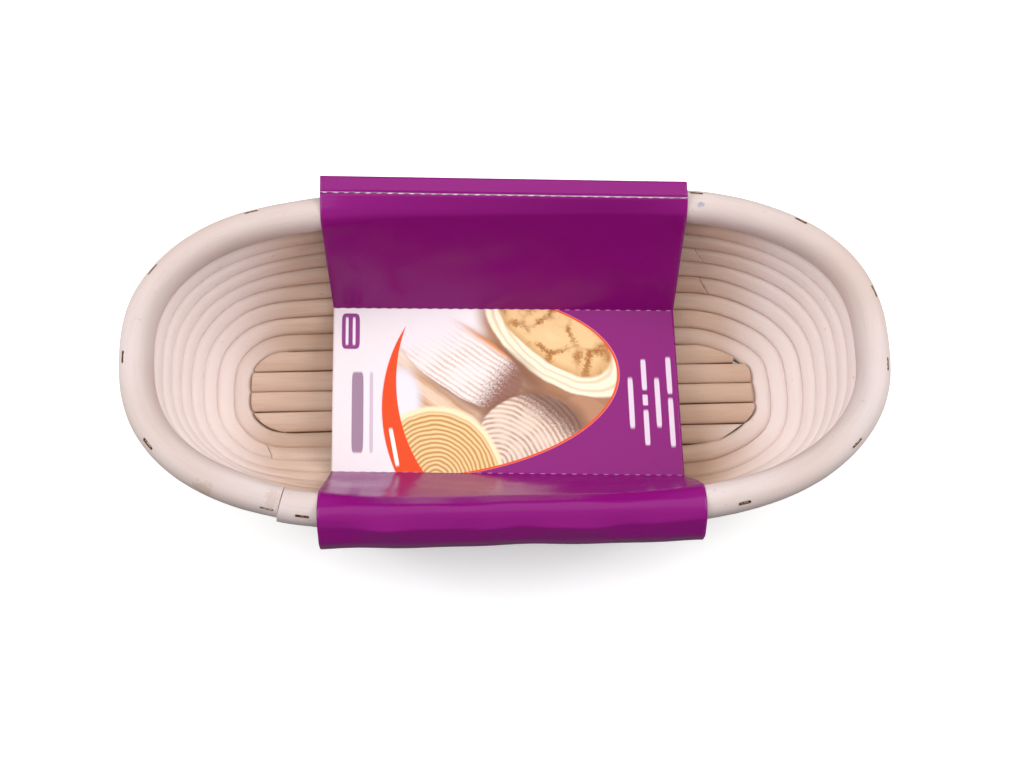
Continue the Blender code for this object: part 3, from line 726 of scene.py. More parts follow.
def staple_tree():
    """Geometry Nodes: one bent wire staple set at every point, turned by the point's two directions."""
    tree, given = new_group("Geometry", "staples_at_points",
                            (("Geometry", "Places"), ("Float", "Crown"), ("Float", "Leg"),
                             ("Float", "Wire"), ("Float", "Corner"), ("Material", "Material")),
                            [("Geometry", "Staples")])
    half = given["Crown"] * 0.5
    low = given["Leg"] * (-1.0)
    outline = output(tree, "GeometryNodeMeshLine", {"mode": "OFFSET"}, Count=4)
    index = output(tree, "GeometryNodeInputIndex")
    side = maths("GREATER_THAN", index, 1.5) * 2.0 - 1.0
    tip = maths("GREATER_THAN", abs(index - 1.5), 1.0)
    corner = output(tree, "ShaderNodeCombineXYZ", X=side * half, Y=0.0, Z=tip * low)
    bent = node(tree, "GeometryNodeSetPosition", Geometry=outline, Position=corner)
    wire = node(tree, "GeometryNodeMeshToCurve", Mesh=bent.outputs[0])
    rounded = output(tree, "GeometryNodeFilletCurve", {"mode": "POLY"}, Curve=wire.outputs[0], Count=4,
                     Radius=given["Corner"])
    section = output(tree, "GeometryNodeCurvePrimitiveCircle", Resolution=8, Radius=given["Wire"])
    solid = output(tree, "GeometryNodeCurveToMesh", Curve=rounded, Profile_Curve=section, Fill_Caps=True)
    crown = node(tree, "GeometryNodeInputNamedAttribute", {"data_type": "FLOAT_VECTOR"}, Name="crown")
    above = node(tree, "GeometryNodeInputNamedAttribute", {"data_type": "FLOAT_VECTOR"}, Name="above")
    turn = output(tree, "FunctionNodeAxesToRotation", {"primary_axis": "Z", "secondary_axis": "X"},
                  Primary_Axis=above.outputs[0], Secondary_Axis=crown.outputs[0])
    placed = output(tree, "GeometryNodeInstanceOnPoints", Points=given["Places"], Instance=solid,
                    Rotation=turn)
    real = output(tree, "GeometryNodeRealizeInstances", Geometry=placed)
    smooth = output(tree, "GeometryNodeSetShadeSmooth", Geometry=real)
    painted = output(tree, "GeometryNodeSetMaterial", Geometry=smooth, Material=given["Material"])
    return finish_group(tree, painted)


def staple_metal():
    """Dull galvanised wire with brown freckles of rust."""
    material, tree, shader = new_material("staple_wire")
    place = object_place(tree)
    rust = ramp(noise_at(place, 900.0, 3.0), 0.48, 0.62)
    put_all(shader, Base_Color=mix_colour(rust, rgb(176, 160, 142), rgb(112, 78, 54)),
            Roughness=0.38 + rust * 0.4, Metallic=0.9 - rust * 0.8)
    return material


staple_sweep = staple_tree()
staple_wire = staple_metal()


def staples(name, places, leg):
    """All staples of one kind as one piece; places are (point, along the crown, away from the legs)."""
    mesh = bpy.data.meshes.new(name)
    mesh.from_pydata([place[0] for place in places], [], [])
    for attribute, index in (("crown", 1), ("above", 2)):
        made = mesh.attributes.new(attribute, "FLOAT_VECTOR", "POINT")
        made.data.foreach_set("vector", np.array([place[index] for place in places], np.float32).ravel())
    return run_tree(name, mesh, staple_sweep, Crown=STAPLE_CROWN - STAPLE_WIRE, Leg=leg, Wire=STAPLE_WIRE
                    / 2, Corner=STAPLE_WIRE * 0.9, Material=staple_wire)


def rim_staple_place(fraction):
    station = round(fraction * STATIONS) % STATIONS
    normal = Vector((*rim_normal[station], 0))
    centre = Vector(rim_centre(station))
    crown = centre + normal * STAPLE_OFFSET + Vector((0, 0, math.sqrt(RIM_RADIUS ** 2 - STAPLE_OFFSET
                                                                      ** 2)))
    below = Vector(rings[station, WALL_TURNS - 1])
    if centre.y < 0 and abs(centre.x) <= STEP_HALF:
        below = Vector(step_stack(centre.x)[0][WALL_TURNS - 1])
    above = (crown - below).normalized()
    along = normal.cross(Vector((0, 0, 1)))
    along = (along - above * along.dot(above)).normalized()
    return crown - above * STAPLE_SUNK, along, above


rim_places = [rim_staple_place(fraction) for fraction in RIM_STAPLES]
rim_staples = staples("rim_staples_fine", rim_places, RIM_STAPLE_LEG)

ragged = np.random.default_rng(11)


def punch_slots(piece, places, length, width, depth):
    """Cuts the ragged slot of every staple into the piece, its sides torn fibre."""
    form = bmesh.new()
    for point, along, above in places:
        axes = Matrix((along, above.cross(along), above)).transposed().to_4x4()
        axes.translation = point + above * (depth / 2 - STAPLE_WIRE * 1.4)
        slot_size = (length * ragged.uniform(0.9, 1.12), width * ragged.uniform(0.8, 1.3), depth, 1)
        size = Matrix.Diagonal(slot_size)
        made = bmesh.ops.create_icosphere(form, subdivisions=3, radius=0.5)
        for vert in made["verts"]:
            pushed = [math.copysign(abs(2 * part) ** 0.35 / 2, part) for part in vert.co]
            vert.co = axes @ (size @ (Vector(pushed) * ragged.uniform(0.92, 1.06)))
    bmesh.ops.recalc_face_normals(form, faces=form.faces)
    slots = add_object("staple_slots", mesh_from(form, "staple_slots", cut_fibre))
    carved(piece, slots, "DIFFERENCE")
    bpy.data.objects.remove(slots)


punch_slots(rim, rim_places, STAPLE_CROWN + 0.0004, STAPLE_WIRE + 0.0003, 0.0034)

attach(rim, BASKET)
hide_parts("rim_hoop")
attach(rim_staples, BASKET)
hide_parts(*[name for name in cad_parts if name.startswith("rim_staple_")])

# ---------------------------------------------------------------------------------------------
# Slats. Three thin softwood laths under the floor, square across its canes, each stapled up
# into every one of them. Sawn and lightly sanded, with the grain along the lath.
# ---------------------------------------------------------------------------------------------
SLAT_STAPLE_LEG = 0.0062
SLAT_STAPLE_SUNK = 0.0007


def slat_material():
    """Pale sawn softwood: grain lines along Y, saw marks across and a little dirt."""
    material, tree, shader = new_material("slat_wood_fine")
    place = object_place(tree)
    drawn = output(tree, "ShaderNodeMapping", Vector=place, Scale=(1.0, 0.035, 1.0))
    grain = noise_at(drawn, 900.0, 5.0, 0.65)
    rings_of_wood = noise_at(drawn, 220.0, 2.0)
    sawn = node(tree, "ShaderNodeTexWave", {"bands_direction": "Y"}, Vector=place, Scale=260.0,
                Distortion=2.0, Detail=2.0).outputs["Fac"]
    colour = mix_colour(ramp(grain, 0.35, 0.7), rgb(206, 170, 128), rgb(176, 136, 96))
    colour = mix_colour(ramp(rings_of_wood, 0.5, 0.72), colour, rgb(158, 116, 80))
    dirt = noise_at(place, 60.0, 4.0)
    colour = mix_colour(ramp(dirt, 0.55, 0.8) * 0.4, colour, rgb(140, 120, 104))
    height = grain + sawn * 0.3
    put_all(shader, Base_Color=colour, Roughness=0.62 + grain * 0.25, Normal=relief(height, 0.00012))
    return material


slat_wood = slat_material()
strip_rows = [sum(part.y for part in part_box(f"floor_strip_{index + 1}"))
              / 2 for index in range(FLOOR_STRIPS)]
slat_places = []
for number in range(3):
    low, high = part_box(f"base_slat_{number + 1}")
    form = bmesh.new()
    bmesh.ops.create_cube(form, size=1.0)
    for vert in form.verts:
        vert.co = [low[axis] + (vert.co[axis] + 0.5) * (high[axis] - low[axis]) for axis in range(3)]
    lengthwise = [edge for edge in form.edges if abs(edge.verts[0].co.y - edge.verts[1].co.y) > 0.01]
    bmesh.ops.subdivide_edges(form, edges=lengthwise, cuts=40, use_grid_fill=True)
    bmesh.ops.bevel(form, geom=[edge for edge in form.edges if edge.calc_face_angle(0) > 1], offset=0.00035,
                    segments=2, affect="EDGES")
    for vert in form.verts:
        across = vert.co.x - (low.x + high.x) / 2
        vert.co.x -= across * 0.012 * (1 + math.sin(vert.co.y * 180 + number * 2))
    slat = add_object(f"base_slat_{number + 1}_fine",
                      mesh_from(form, f"base_slat_{number + 1}_fine", slat_wood, cut_fibre))
    slat.data.shade_smooth()
    slat.data.set_sharp_from_angle(angle=math.radians(35))
    middle_x = (low.x + high.x) / 2
    here = [(Vector((middle_x, y, low.z + SLAT_STAPLE_SUNK)), Vector((1, 0, 0)), Vector((0, 0, -1)))
            for y in strip_rows]
    punch_slots(slat, here, STAPLE_CROWN + 0.0004, STAPLE_WIRE + 0.0003, 0.0032)
    slat_places += here
    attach(slat, BASKET)
    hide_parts(f"base_slat_{number + 1}")
slat_staples = staples("slat_staples_fine", slat_places, SLAT_STAPLE_LEG)
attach(slat_staples, BASKET)
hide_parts(*[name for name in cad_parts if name.startswith("slat_staple_")])

# ---------------------------------------------------------------------------------------------
# Card sleeve. One printed sheet of 0.45 mm board, glossy outside and bare grey-white inside,
# folded round the basket. Its front edge strip, soft front crease and inner trough are one run;
# the trough's far edge is torn free at the perforated back crease to lift it.
# ---------------------------------------------------------------------------------------------
CARD_THICKNESS = 0.00045
SLEEVE_HALF = 0.0685
COLUMN_STEP = 0.001
CREST_Z = 0.06944
HINGE_Y = -0.05658
FRONT_FOLD = (-0.03818, 0.0245)
BACK_FOLD = (0.02998, 0.0205)
BACK_CREASE_Y = 0.05928
BACK_CREASE_GAP = 0.00009
SLEEVE_SKEW = 0.0023
BASE_SKEW = 0.00184
CARD_RADIUS = RIM_RADIUS + 0.0005
PANEL_DEPTH = 70.0


def waver(x, *waves):
    """A few sine waves along the sleeve: (length, height, phase) each."""
    return sum(height * math.sin(2 * math.pi * x / length + phase) for length, height, phase in waves)


def front_edge(x):
    """Where the card bends down in front: (y, z), pressed into uneven waves by handling."""
    bow = 1 - (x / SLEEVE_HALF) ** 2
    y = -0.0634 - 0.0017 * bow + waver(x, (0.071, 0.00045, 2.1), (0.034, 0.00042, 0.4),
                                       (0.019, 0.00018, 1.0))
    return y, 0.0678 - 0.0004 * bow + waver(x, (0.052, 0.00025, 0.3), (0.023, 0.00012, 2.0))


def rim_under(x, side):
    """(y, z) of the rim's centre under the sleeve at x, in front (-1) or behind (1)."""
    on_side = rim_xy[:, 1] * side > 0
    nearest = np.flatnonzero(on_side)[np.argsort(rim_xy[on_side, 0])]
    y = float(np.interp(x, rim_xy[nearest, 0], rim_xy[nearest, 1]))
    if side < 0 and abs(x) <= STEP_HALF:
        return y, float(step_stack(x)[0][-1][2])
    return y, float(np.interp(x, rim_xy[nearest, 0], rings[nearest, WALL_TURNS, 2]))


def drawn_over(crease, fold, centre):
    """Where a card pulled from a crease over the rim to a floor fold touches it: first, middle and last."""
    to_crease, to_fold = (np.array(end) - centre for end in (crease, fold))
    side = math.copysign(1, to_fold[0])
    angles = []
    for reach, way in ((to_crease, side), (to_fold, -side)):
        spread = math.acos(min(1.0, CARD_RADIUS / np.linalg.norm(reach)))
        angles.append(math.atan2(reach[1], reach[0]) - way * spread)
    swing = (angles[1] - angles[0] + math.pi) % (2 * math.pi) - math.pi
    return [tuple(np.array(centre) + CARD_RADIUS * np.array([math.cos(angles[0] + swing * share),
                                                           math.sin(angles[0] + swing * share)]))
            for share in (0.0, 0.5, 1.0)]


def inner_folds(x):
    """(y, z, softness, crumple) of every fold, from under the front over and down to the back crease."""
    skew = -x / SLEEVE_HALF
    press = waver(x, (0.064, 0.0005, 1.2), (0.031, 0.00028, 0.3))
    hinge = (HINGE_Y + waver(x, (0.06, 0.0003, 0.5), (0.027, 0.0002, 2.2)), CREST_Z)
    front_fold = (FRONT_FOLD[0] + SLEEVE_SKEW * skew, FRONT_FOLD[1])
    back_fold = (BACK_FOLD[0] + BASE_SKEW * skew, BACK_FOLD[1])
    back_crease = (BACK_CREASE_Y - BACK_CREASE_GAP + SLEEVE_SKEW * skew, CREST_Z)
    over_front = drawn_over(hinge, front_fold, rim_under(x, -1))
    over_back = drawn_over(back_crease, back_fold, rim_under(x, 1))
    folds = [(-0.0540, 0.00025, 0.0, 0.0), (-0.0550, 0.00025, 0.0008, 0.0), (-0.0560, 0.00325, 0.0014, 0.0),
             (-0.0697 + press * 0.5, 0.0563, 0.0040, 0.0009), (-0.0684 + press * 0.3, 0.0622, 0.0016, 0.0),
             (*front_edge(x), 0.0007, 0.0), (-0.0602, 0.0694, 0.0018, 0.0001), (*hinge, 0.0009, 0.0)]
    folds += [(*place, 0.0010, 0.0) for place in over_front]
    folds.append((*front_fold, 0.0004, 0.0007))
    folds.append((*back_fold, 0.0004, 0.0005))
    folds += [(*place, 0.0010, crumple) for place, crumple in zip(reversed(over_back), (0.0008, 0.0, 0.0))]
    folds.append((*back_crease, 0.0, 0.0))
    return folds


def outer_folds(x):
    """The same for the rest: from the back crease down the back and under the basket to its front."""
    skew = -x / SLEEVE_HALF
    return [
        (BACK_CREASE_Y + BACK_CREASE_GAP + SLEEVE_SKEW * skew, CREST_Z, 0.0, 0.0),
        (0.06568 + SLEEVE_SKEW * skew, CREST_Z - 0.0001, 0.0006, 0.0004),
        (0.06700 + BASE_SKEW * skew, 0.0603, 0.0026, 0.0003),
        (0.0560, 0.00325, 0.0014, 0.0009),
        (0.0550, 0.00025, 0.0008, 0.0),
        (-0.0539, 0.00025, 0.0, 0.0),
    ]


def folded_line(folds, counts):
    """Points down one cross-section, each fold rounded: (place, place counted in folds, crumple)."""
    points = [np.array(fold[:2]) for fold in folds]
    lengths = [float(np.linalg.norm(after - point)) for point, after in zip(points, points[1:])]
    reaches = []
    for index, fold in enumerate(folds):
        before = lengths[index - 1] if index else 0.0
        after = lengths[index] if index < len(lengths) else 0.0
        reaches.append((min(fold[2], 0.45 * before), min(fold[2], 0.45 * after)))
    line = []
    for index, corner in enumerate(points):
        reach_in, reach_out = reaches[index]
        start = corner + unit(points[index - 1] - corner) * reach_in if reach_in else corner
        end = corner + unit(points[index + 1] - corner) * reach_out if reach_out else corner
        for share in np.linspace(0, 1, 6 if reach_in and reach_out else 1):
            place = start * (1 - share) ** 2 + corner * 2 * share * (1 - share) + end * share ** 2
            past = (share - 0.5) * 2 * (reach_in if share < 0.5 else reach_out)
            length = lengths[index - 1] if share < 0.5 and index else lengths[min(index, len(lengths) - 1)]
            line.append((place, index + (past / length if reach_in and reach_out else 0.0), 0.0))
        if index == len(lengths):
            break
        far = points[index + 1] + unit(corner - points[index + 1]) * reaches[index + 1][0]
        for step in range(1, counts[index]):
            share = step / counts[index]
            place = end + (far - end) * share
            count = index + np.linalg.norm(place - corner) / lengths[index]
            line.append((place, count, folds[index + 1][3] * math.sin(math.pi * share)))
    return line


def card_sheet(name, folds_at, seed, fold_girths):
    """A folded sheet, printed side out, bare inside, pale at its cut edges.

    fold_girths gives each fold's place on the printed sheet, in millimetres from the back fold.
    """
    columns = np.linspace(-SLEEVE_HALF, SLEEVE_HALF, int(2 * SLEEVE_HALF / COLUMN_STEP) + 1)
    middle = [np.array(fold[:2]) for fold in folds_at(0.0)]
    counts = [max(2, round(math.dist(*pair) / 0.0016)) for pair in zip(middle, middle[1:])]
    rows = []
    places = []
    for x in columns:
        line = folded_line(folds_at(float(x)), counts)
        points = np.array([entry[0] for entry in line])
        ways = np.gradient(points, axis=0)
        ways /= np.linalg.norm(ways, axis=1)[:, None]
        for index, (point, count, amount) in enumerate(line):
            wave = noise.noise(Vector((x * 26, count * 1.7, seed)))
            wave += 0.4 * noise.noise(Vector((x * 75, count * 4.0, seed + 9)))
            y, z = point + np.array([-ways[index][1], ways[index][0]]) * wave * amount
            rows.append((x, y, z))
            places.append((x * 1000, float(np.interp(count, range(len(middle)), fold_girths)), 0.0))
    down = len(rows) // len(columns)
    faces = [(i * down + j, (i + 1) * down + j, (i + 1) * down + j + 1, i * down + j + 1)
             for i in range(len(columns) - 1) for j in range(down - 1)]
    mesh = bpy.data.meshes.new(name)
    mesh.from_pydata(rows, [], faces)
    printed = mesh.attributes.new("print_place", "FLOAT_VECTOR", "POINT")
    printed.data.foreach_set("vector", np.array(places, np.float32).ravel())
    mesh.shade_smooth()
    for material in (printed_card, bare_board, cut_board):
        mesh.materials.append(material)
    piece = add_object(name, mesh)
    wall = piece.modifiers.new("board", "SOLIDIFY")
    wall.thickness = CARD_THICKNESS
    wall.offset = 0.0
    wall.use_even_offset = True
    wall.material_offset = 1
    wall.material_offset_rim = 2
    made = evaluated_mesh(piece)
    piece.modifiers.clear()
    piece.data = made
    return piece


def girths_from(folds, zero, full):
    """Distances of the folds along the sheet, 0 at one fold and PANEL_DEPTH at another."""
    lengths = np.cumsum([0] + [math.dist(a[:2], b[:2]) for a, b in zip(folds, folds[1:])])
    return (lengths - lengths[zero]) / (lengths[full] - lengths[zero]) * PANEL_DEPTH


def shape_group():
    """Shader group: a printed round or square-cornered shape, placed, turned and softened."""
    tree, given = new_group("Shader", "printed_shape", (
        ("Vector", "Place"), ("Vector", "Centre"), ("Vector", "Half"), ("Float", "Turn"),
        ("Float", "Squareness"), ("Float", "Softness")),
        (("Float", "Mask"), ("Float", "Reach"), ("Float", "Along"), ("Float", "Across")))
    moved = vector_maths("SUBTRACT", given["Place"], given["Centre"])
    turned = output(tree, "ShaderNodeVectorRotate", {"rotation_type": "Z_AXIS"}, Vector=moved,
                    Angle=given["Turn"] * (-1.0))
    shares = node(tree, "ShaderNodeSeparateXYZ", Vector=vector_maths("DIVIDE", turned, given["Half"]))
    powers = [abs(part) ** given["Squareness"] for part in shares.outputs[:2]]
    reach = maths("ADD", *powers) ** (1.0 / given["Squareness"])
    inside = ramp(reach, 1.0 + given["Softness"], 1.0 - given["Softness"])
    return finish_group(tree, inside, reach, shares.outputs[0], shares.outputs[1])


printed_shape = shape_group()


def shape(place, centre, half, turn=0.0, squareness=2.0, softness=0.03):
    """Mask, reach, along and across of one printed shape, in millimetres and degrees."""
    return grouped(place.id_data, printed_shape, Place=place, Centre=(*centre, 0), Half=(*half, 1),
                   Turn=math.radians(turn), Squareness=squareness, Softness=softness).outputs


def stripes(value, count, low=0.3, high=0.9):
    """Soft lines, count of them for each unit of value."""
    return ramp(maths("SINE", value * (2 * math.pi * count)), low, high)


def bread_picture(place, speckle, blotch):
    """The printed picture: loaves, dough in a basket and a coiled basket on a wooden table."""
    tree = place.id_data
    drift = vector_maths("SUBTRACT", blotch, (0.5, 0.5, 0.5))
    place = vector_maths("ADD", place, vector_maths("MULTIPLY", drift, (1.7, 1.7, 0.0)))
    patchy = ramp(node(tree, "ShaderNodeSeparateXYZ", Vector=blotch).outputs[2], 0.36, 0.58)
    board = output(tree, "ShaderNodeVectorRotate", {"rotation_type": "Z_AXIS"}, Vector=place,
                   Angle=math.radians(-35))
    planks = output(tree, "ShaderNodeMapping", Vector=board, Scale=(0.02, 0.24, 1.0))
    grain = noise_at(planks, 1.0, 4.0)
    colour = mix_colour(ramp(grain, 0.35, 0.65), rgb(236, 210, 184), rgb(200, 152, 118))
    corner = shape(place, (-20, -4), (34, 16), 10, 2, 0.5)[0]
    colour = mix_colour(corner, colour, rgb(246, 238, 238))
    cloth = shape(place, (-42, 40), (8, 14), 0, 2, 0.3)[0]
    colour = mix_colour(cloth, colour, rgb(228, 226, 238))

    bowl = shape(place, (21, 12.0), (34, 18.5), 40)
    colour = mix_colour(shape(place, (20, 17), (36, 19), 40, 2, 0.14)[0], colour, rgb(170, 122, 92))
    rim = mix_colour(stripes(bowl[1], 7.0, 0.0, 1.0) * 0.5, rgb(246, 236, 210), rgb(206, 176, 126))
    colour = mix_colour(bowl[0], colour, rim)
    dough = shape(place, (20, 9.0), (26.5, 13.0), 40, 2.3, 0.04)
    crumb = node(tree, "ShaderNodeTexNoise", Vector=place, Scale=0.9, Detail=3.0).outputs["Color"]
    torn = vector_maths("ADD", place, vector_maths("MULTIPLY", crumb, (5.0, 5.0, 0.0)))
    crack = node(tree, "ShaderNodeTexVoronoi", {"feature": "DISTANCE_TO_EDGE"}, Scale=0.085,
                 Vector=torn).outputs["Distance"]
    deep = ramp(crack, 0.15, 0.0) * patchy
    paste = mix_colour(deep, rgb(236, 196, 142), rgb(168, 108, 54))
    paste = mix_colour(ramp(crack, 0.30, 0.55), paste, rgb(246, 218, 174))
    paste = mix_colour(ramp(dough[1], 0.72, 1.0) * 0.6, paste, rgb(190, 138, 84))
    colour = mix_colour(dough[0], colour, paste)

    shade = shape(place, (-11, 28), (31, 15), 35, 2.4, 0.18)[0]
    colour = mix_colour(shade * 0.7, colour, rgb(120, 78, 60))
    loaf = shape(place, (-17.5, 22.5), (26, 13.6), 36, 2.8, 0.03)
    ribs = stripes(loaf[3] + speckle * 0.10, 6.4, -0.3, 1.0) * (0.25 + patchy * 0.4)
    flour = mix_colour(ribs, rgb(242, 230, 226), rgb(198, 158, 136))
    crust_edge = ramp(loaf[3] * -1.0, 0.74, 0.98)
    flour = mix_colour(crust_edge, flour, rgb(206, 132, 74))
    browned = ramp(loaf[2] + speckle * 0.6, 0.72, 1.10)
    flour = mix_colour(browned * 0.9, flour, rgb(126, 72, 50))
    colour = mix_colour(loaf[0], colour, flour)

    plate = shape(place, (33, 46), (11, 7), 40, 2, 0.06)[0]
    colour = mix_colour(plate, colour, rgb(182, 134, 104))
    under = shape(place, (10, 54), (23, 18.5), -12, 2, 0.1)[0]
    colour = mix_colour(under * 0.6, colour, rgb(128, 86, 66))
    round_loaf = shape(place, (9.5, 55.0), (21, 18.0), -12)
    swirl = shape(place, (-4, 66), (21, 22), -12)[1] + speckle * 0.03
    ribs = stripes(swirl, 10.5, -0.8, 1.0) * (0.25 + patchy * 0.4)
    crust = mix_colour(ribs, rgb(236, 212, 194), rgb(150, 104, 80))
    burnt = round_loaf[2] - round_loaf[3] * 0.7 + speckle * 0.8
    crust = mix_colour(ramp(burnt, 0.75, 1.35) * 0.85, crust, rgb(104, 62, 48))
    colour = mix_colour(round_loaf[0], colour, crust)

    coil = shape(place, (-28, 73), (26.5, 31), 0)
    wound = mix_colour(stripes(coil[1], 16.5, -1.0, 1.1), rgb(240, 206, 152), rgb(196, 140, 80))
    wound = mix_colour(ramp(coil[1], 0.90, 0.94), wound, rgb(246, 226, 186))
    colour = mix_colour(coil[0], colour, wound)
    fade = shape(place, (-44, 0), (30, 19), 14, 2, 0.35)[0]
    return mix_colour(fade, colour, LILAC_WHITE)


PURPLE = rgb(134, 22, 115)
LILAC_WHITE = rgb(236, 226, 230)
ORANGE = rgb(228, 74, 26)


def print_group():
    """Shader group: what is printed on the sheet, by place on it in millimetres."""
    tree, given = new_group("Shader", "sleeve_print", [("Vector", "Place")], [("Color", "Color")])
    place = given["Place"]
    speckle = noise_at(place, 1.3, 3.0, 0.7)
    blotch = node(tree, "ShaderNodeTexNoise", Vector=place, Scale=0.12, Detail=2.0).outputs["Color"]
    parts = node(tree, "ShaderNodeSeparateXYZ", Vector=place)
    u, v = parts.outputs[:2]

    sweep_out = shape(place, (-35.2, 32.5), (80.7, 40.0), -5.1, 2.0, 0.004)[0]
    sweep_in = shape(place, (-35.2, 32.5), (79.7, 39.2), -5.1, 2.0, 0.004)[0]
    horn_out = shape(place, (8.8, 43.1), (57.9, 63.9), -0.5, 2.0, 0.004)[0]
    horn_in = shape(place, (-2.1, 33.2), (41.3, 56.1), -2.3, 2.0, 0.004)[0]
    colour = mix_colour(sweep_out, PURPLE, LILAC_WHITE)
    trimmed = sweep_out * horn_out * maths("MAXIMUM", ramp(v, 7.4, 8.4), ramp(u, 0.0, 2.0))
    colour = mix_colour(trimmed, colour, ORANGE)
    window = sweep_in * maths("MAXIMUM", horn_in, ramp(u, 0.0, 2.0))
    colour = mix_colour(window, colour, bread_picture(place, speckle, blotch))

    for u_bar, first, last in ((49.4, 29.5, 50.5), (55.0, 21.5, 34.5), (55.0, 36.5, 41.0), (55.0, 43.0, 57.5),
                               (60.0, 29.5, 50.0), (65.0, 20.5, 36.0), (65.0, 38.0, 58.0)):
        bar = shape(place, (u_bar, (first + last) / 2), (1.0, (last - first) / 2), 0, 8.0, 0.08)[0]
        colour = mix_colour(bar, colour, rgb(226, 208, 224))
    label = shape(place, (-44.3, 59.5), (0.8, 7.8), -10, 8.0, 0.1)[0]
    colour = mix_colour(label, colour, rgb(252, 240, 232))
    badge = shape(place, (-61.5, 10.3), (3.6, 7.8), 0, 6.0, 0.03)[0]
    colour = mix_colour(badge, colour, rgb(140, 60, 130))
    for u_bar in (-63.0, -60.2):
        bar = shape(place, (u_bar, 10.3), (0.55, 6.0), 0, 8.0, 0.1)[0]
        colour = mix_colour(bar, colour, rgb(240, 226, 238))
    for u_band, half, ink in ((-58.6, 2.3, rgb(158, 128, 152)), (-53.2, 0.7, rgb(206, 186, 204))):
        band = shape(place, (u_band, 45), (half, 17), 0, 8.0, 0.04)[0]
        colour = mix_colour(band, colour, ink)

    teeth = maths("SINE", u * (2 * math.pi / 4.1)) * 0.22
    lower = ramp(v + teeth, PANEL_DEPTH - 0.1, PANEL_DEPTH + 0.1)
    upper = ramp(v + teeth, 0.1, -0.1)
    colour = mix_colour(maths("MAXIMUM", lower, upper), colour, PURPLE)
    creased = stripes(u, 1 / 4.1, 0.0, 0.5) * 0.55
    for fold in (0.0, PANEL_DEPTH):
        near = ramp(abs(v - fold), 0.42, 0.12)
        colour = mix_colour(near * creased, colour, rgb(214, 186, 206))
    scuff = noise_at(place, 0.5, 5.0, 0.75)
    colour = mix_colour(ramp(scuff, 0.66, 0.8) * 0.10, colour, rgb(226, 206, 222))
    return finish_group(tree, colour)


def printed_material():
    """Offset ink under a gloss varnish, slightly uneven, on white-backed board."""
    material, tree, shader = new_material("printed_card_fine")
    place = node(tree, "ShaderNodeAttribute", {"attribute_name": "print_place"}).outputs["Vector"]
    print_colour = grouped(tree, print_group(), Place=place).outputs["Color"]
    smear = noise_at(place, 0.06, 3.0)
    put_all(shader, Base_Color=print_colour, Roughness=0.15 + smear * 0.14, Specular_IOR_Level=0.22,
            Normal=relief(noise_at(place, 2.5, 2.0), 0.00003, 0.35))
    return material


def board_material(name, low, high):
    """Bare board: grey-white pulp with fibres, or its paler cut edge."""
    material, tree, shader = new_material(name)
    place = object_place(tree)
    pulp = noise_at(place, 700.0, 6.0, 0.7)
    cloud = noise_at(place, 40.0, 2.0)
    colour = mix_colour(ramp(pulp, 0.35, 0.7), low, high)
    colour = mix_colour(ramp(cloud, 0.4, 0.7) * 0.25, colour, rgb(190, 184, 180))
    put_all(shader, Base_Color=colour, Roughness=0.75 + pulp * 0.2, Normal=relief(pulp, 0.00005, 0.6))
    return material


printed_card = printed_material()
bare_board = board_material("bare_board", rgb(206, 200, 194), rgb(224, 220, 214))
cut_board = board_material("cut_board", rgb(214, 196, 208), rgb(236, 224, 232))
inner_middle = inner_folds(0.0)
front_fold_number = next(index for index, fold in enumerate(inner_middle) if fold[:2] == FRONT_FOLD)
inner_girths = girths_from(inner_middle, front_fold_number + 1, front_fold_number)
outer_girths = girths_from(outer_folds(0.0), 0, 4) + 2 * PANEL_DEPTH
sleeve_inner = card_sheet("sleeve_inner", inner_folds, 3.0, inner_girths)
sleeve_outer = card_sheet("sleeve_outer", outer_folds, 14.0, outer_girths)
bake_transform(sleeve_inner, BASKET, TROUGH, start=(0, -0.0590, CREST_Z), end=(0, -0.0548, CREST_Z + 0.0005))
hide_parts("sleeve_trough")
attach(sleeve_outer, BASKET)
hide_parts("sleeve_wrap")

# ---------------------------------------------------------------------------------------------
# Perforation. The die cuts the back crease through in dashes. At each cut the trough's side
# stands up a little as a pale burr of board.
# ---------------------------------------------------------------------------------------------
PERFORATION_PITCH = 0.00396
BURR_LENGTH = 0.0021
BURR_WIDTH = 0.00034
BURR_HEIGHT = 0.00016


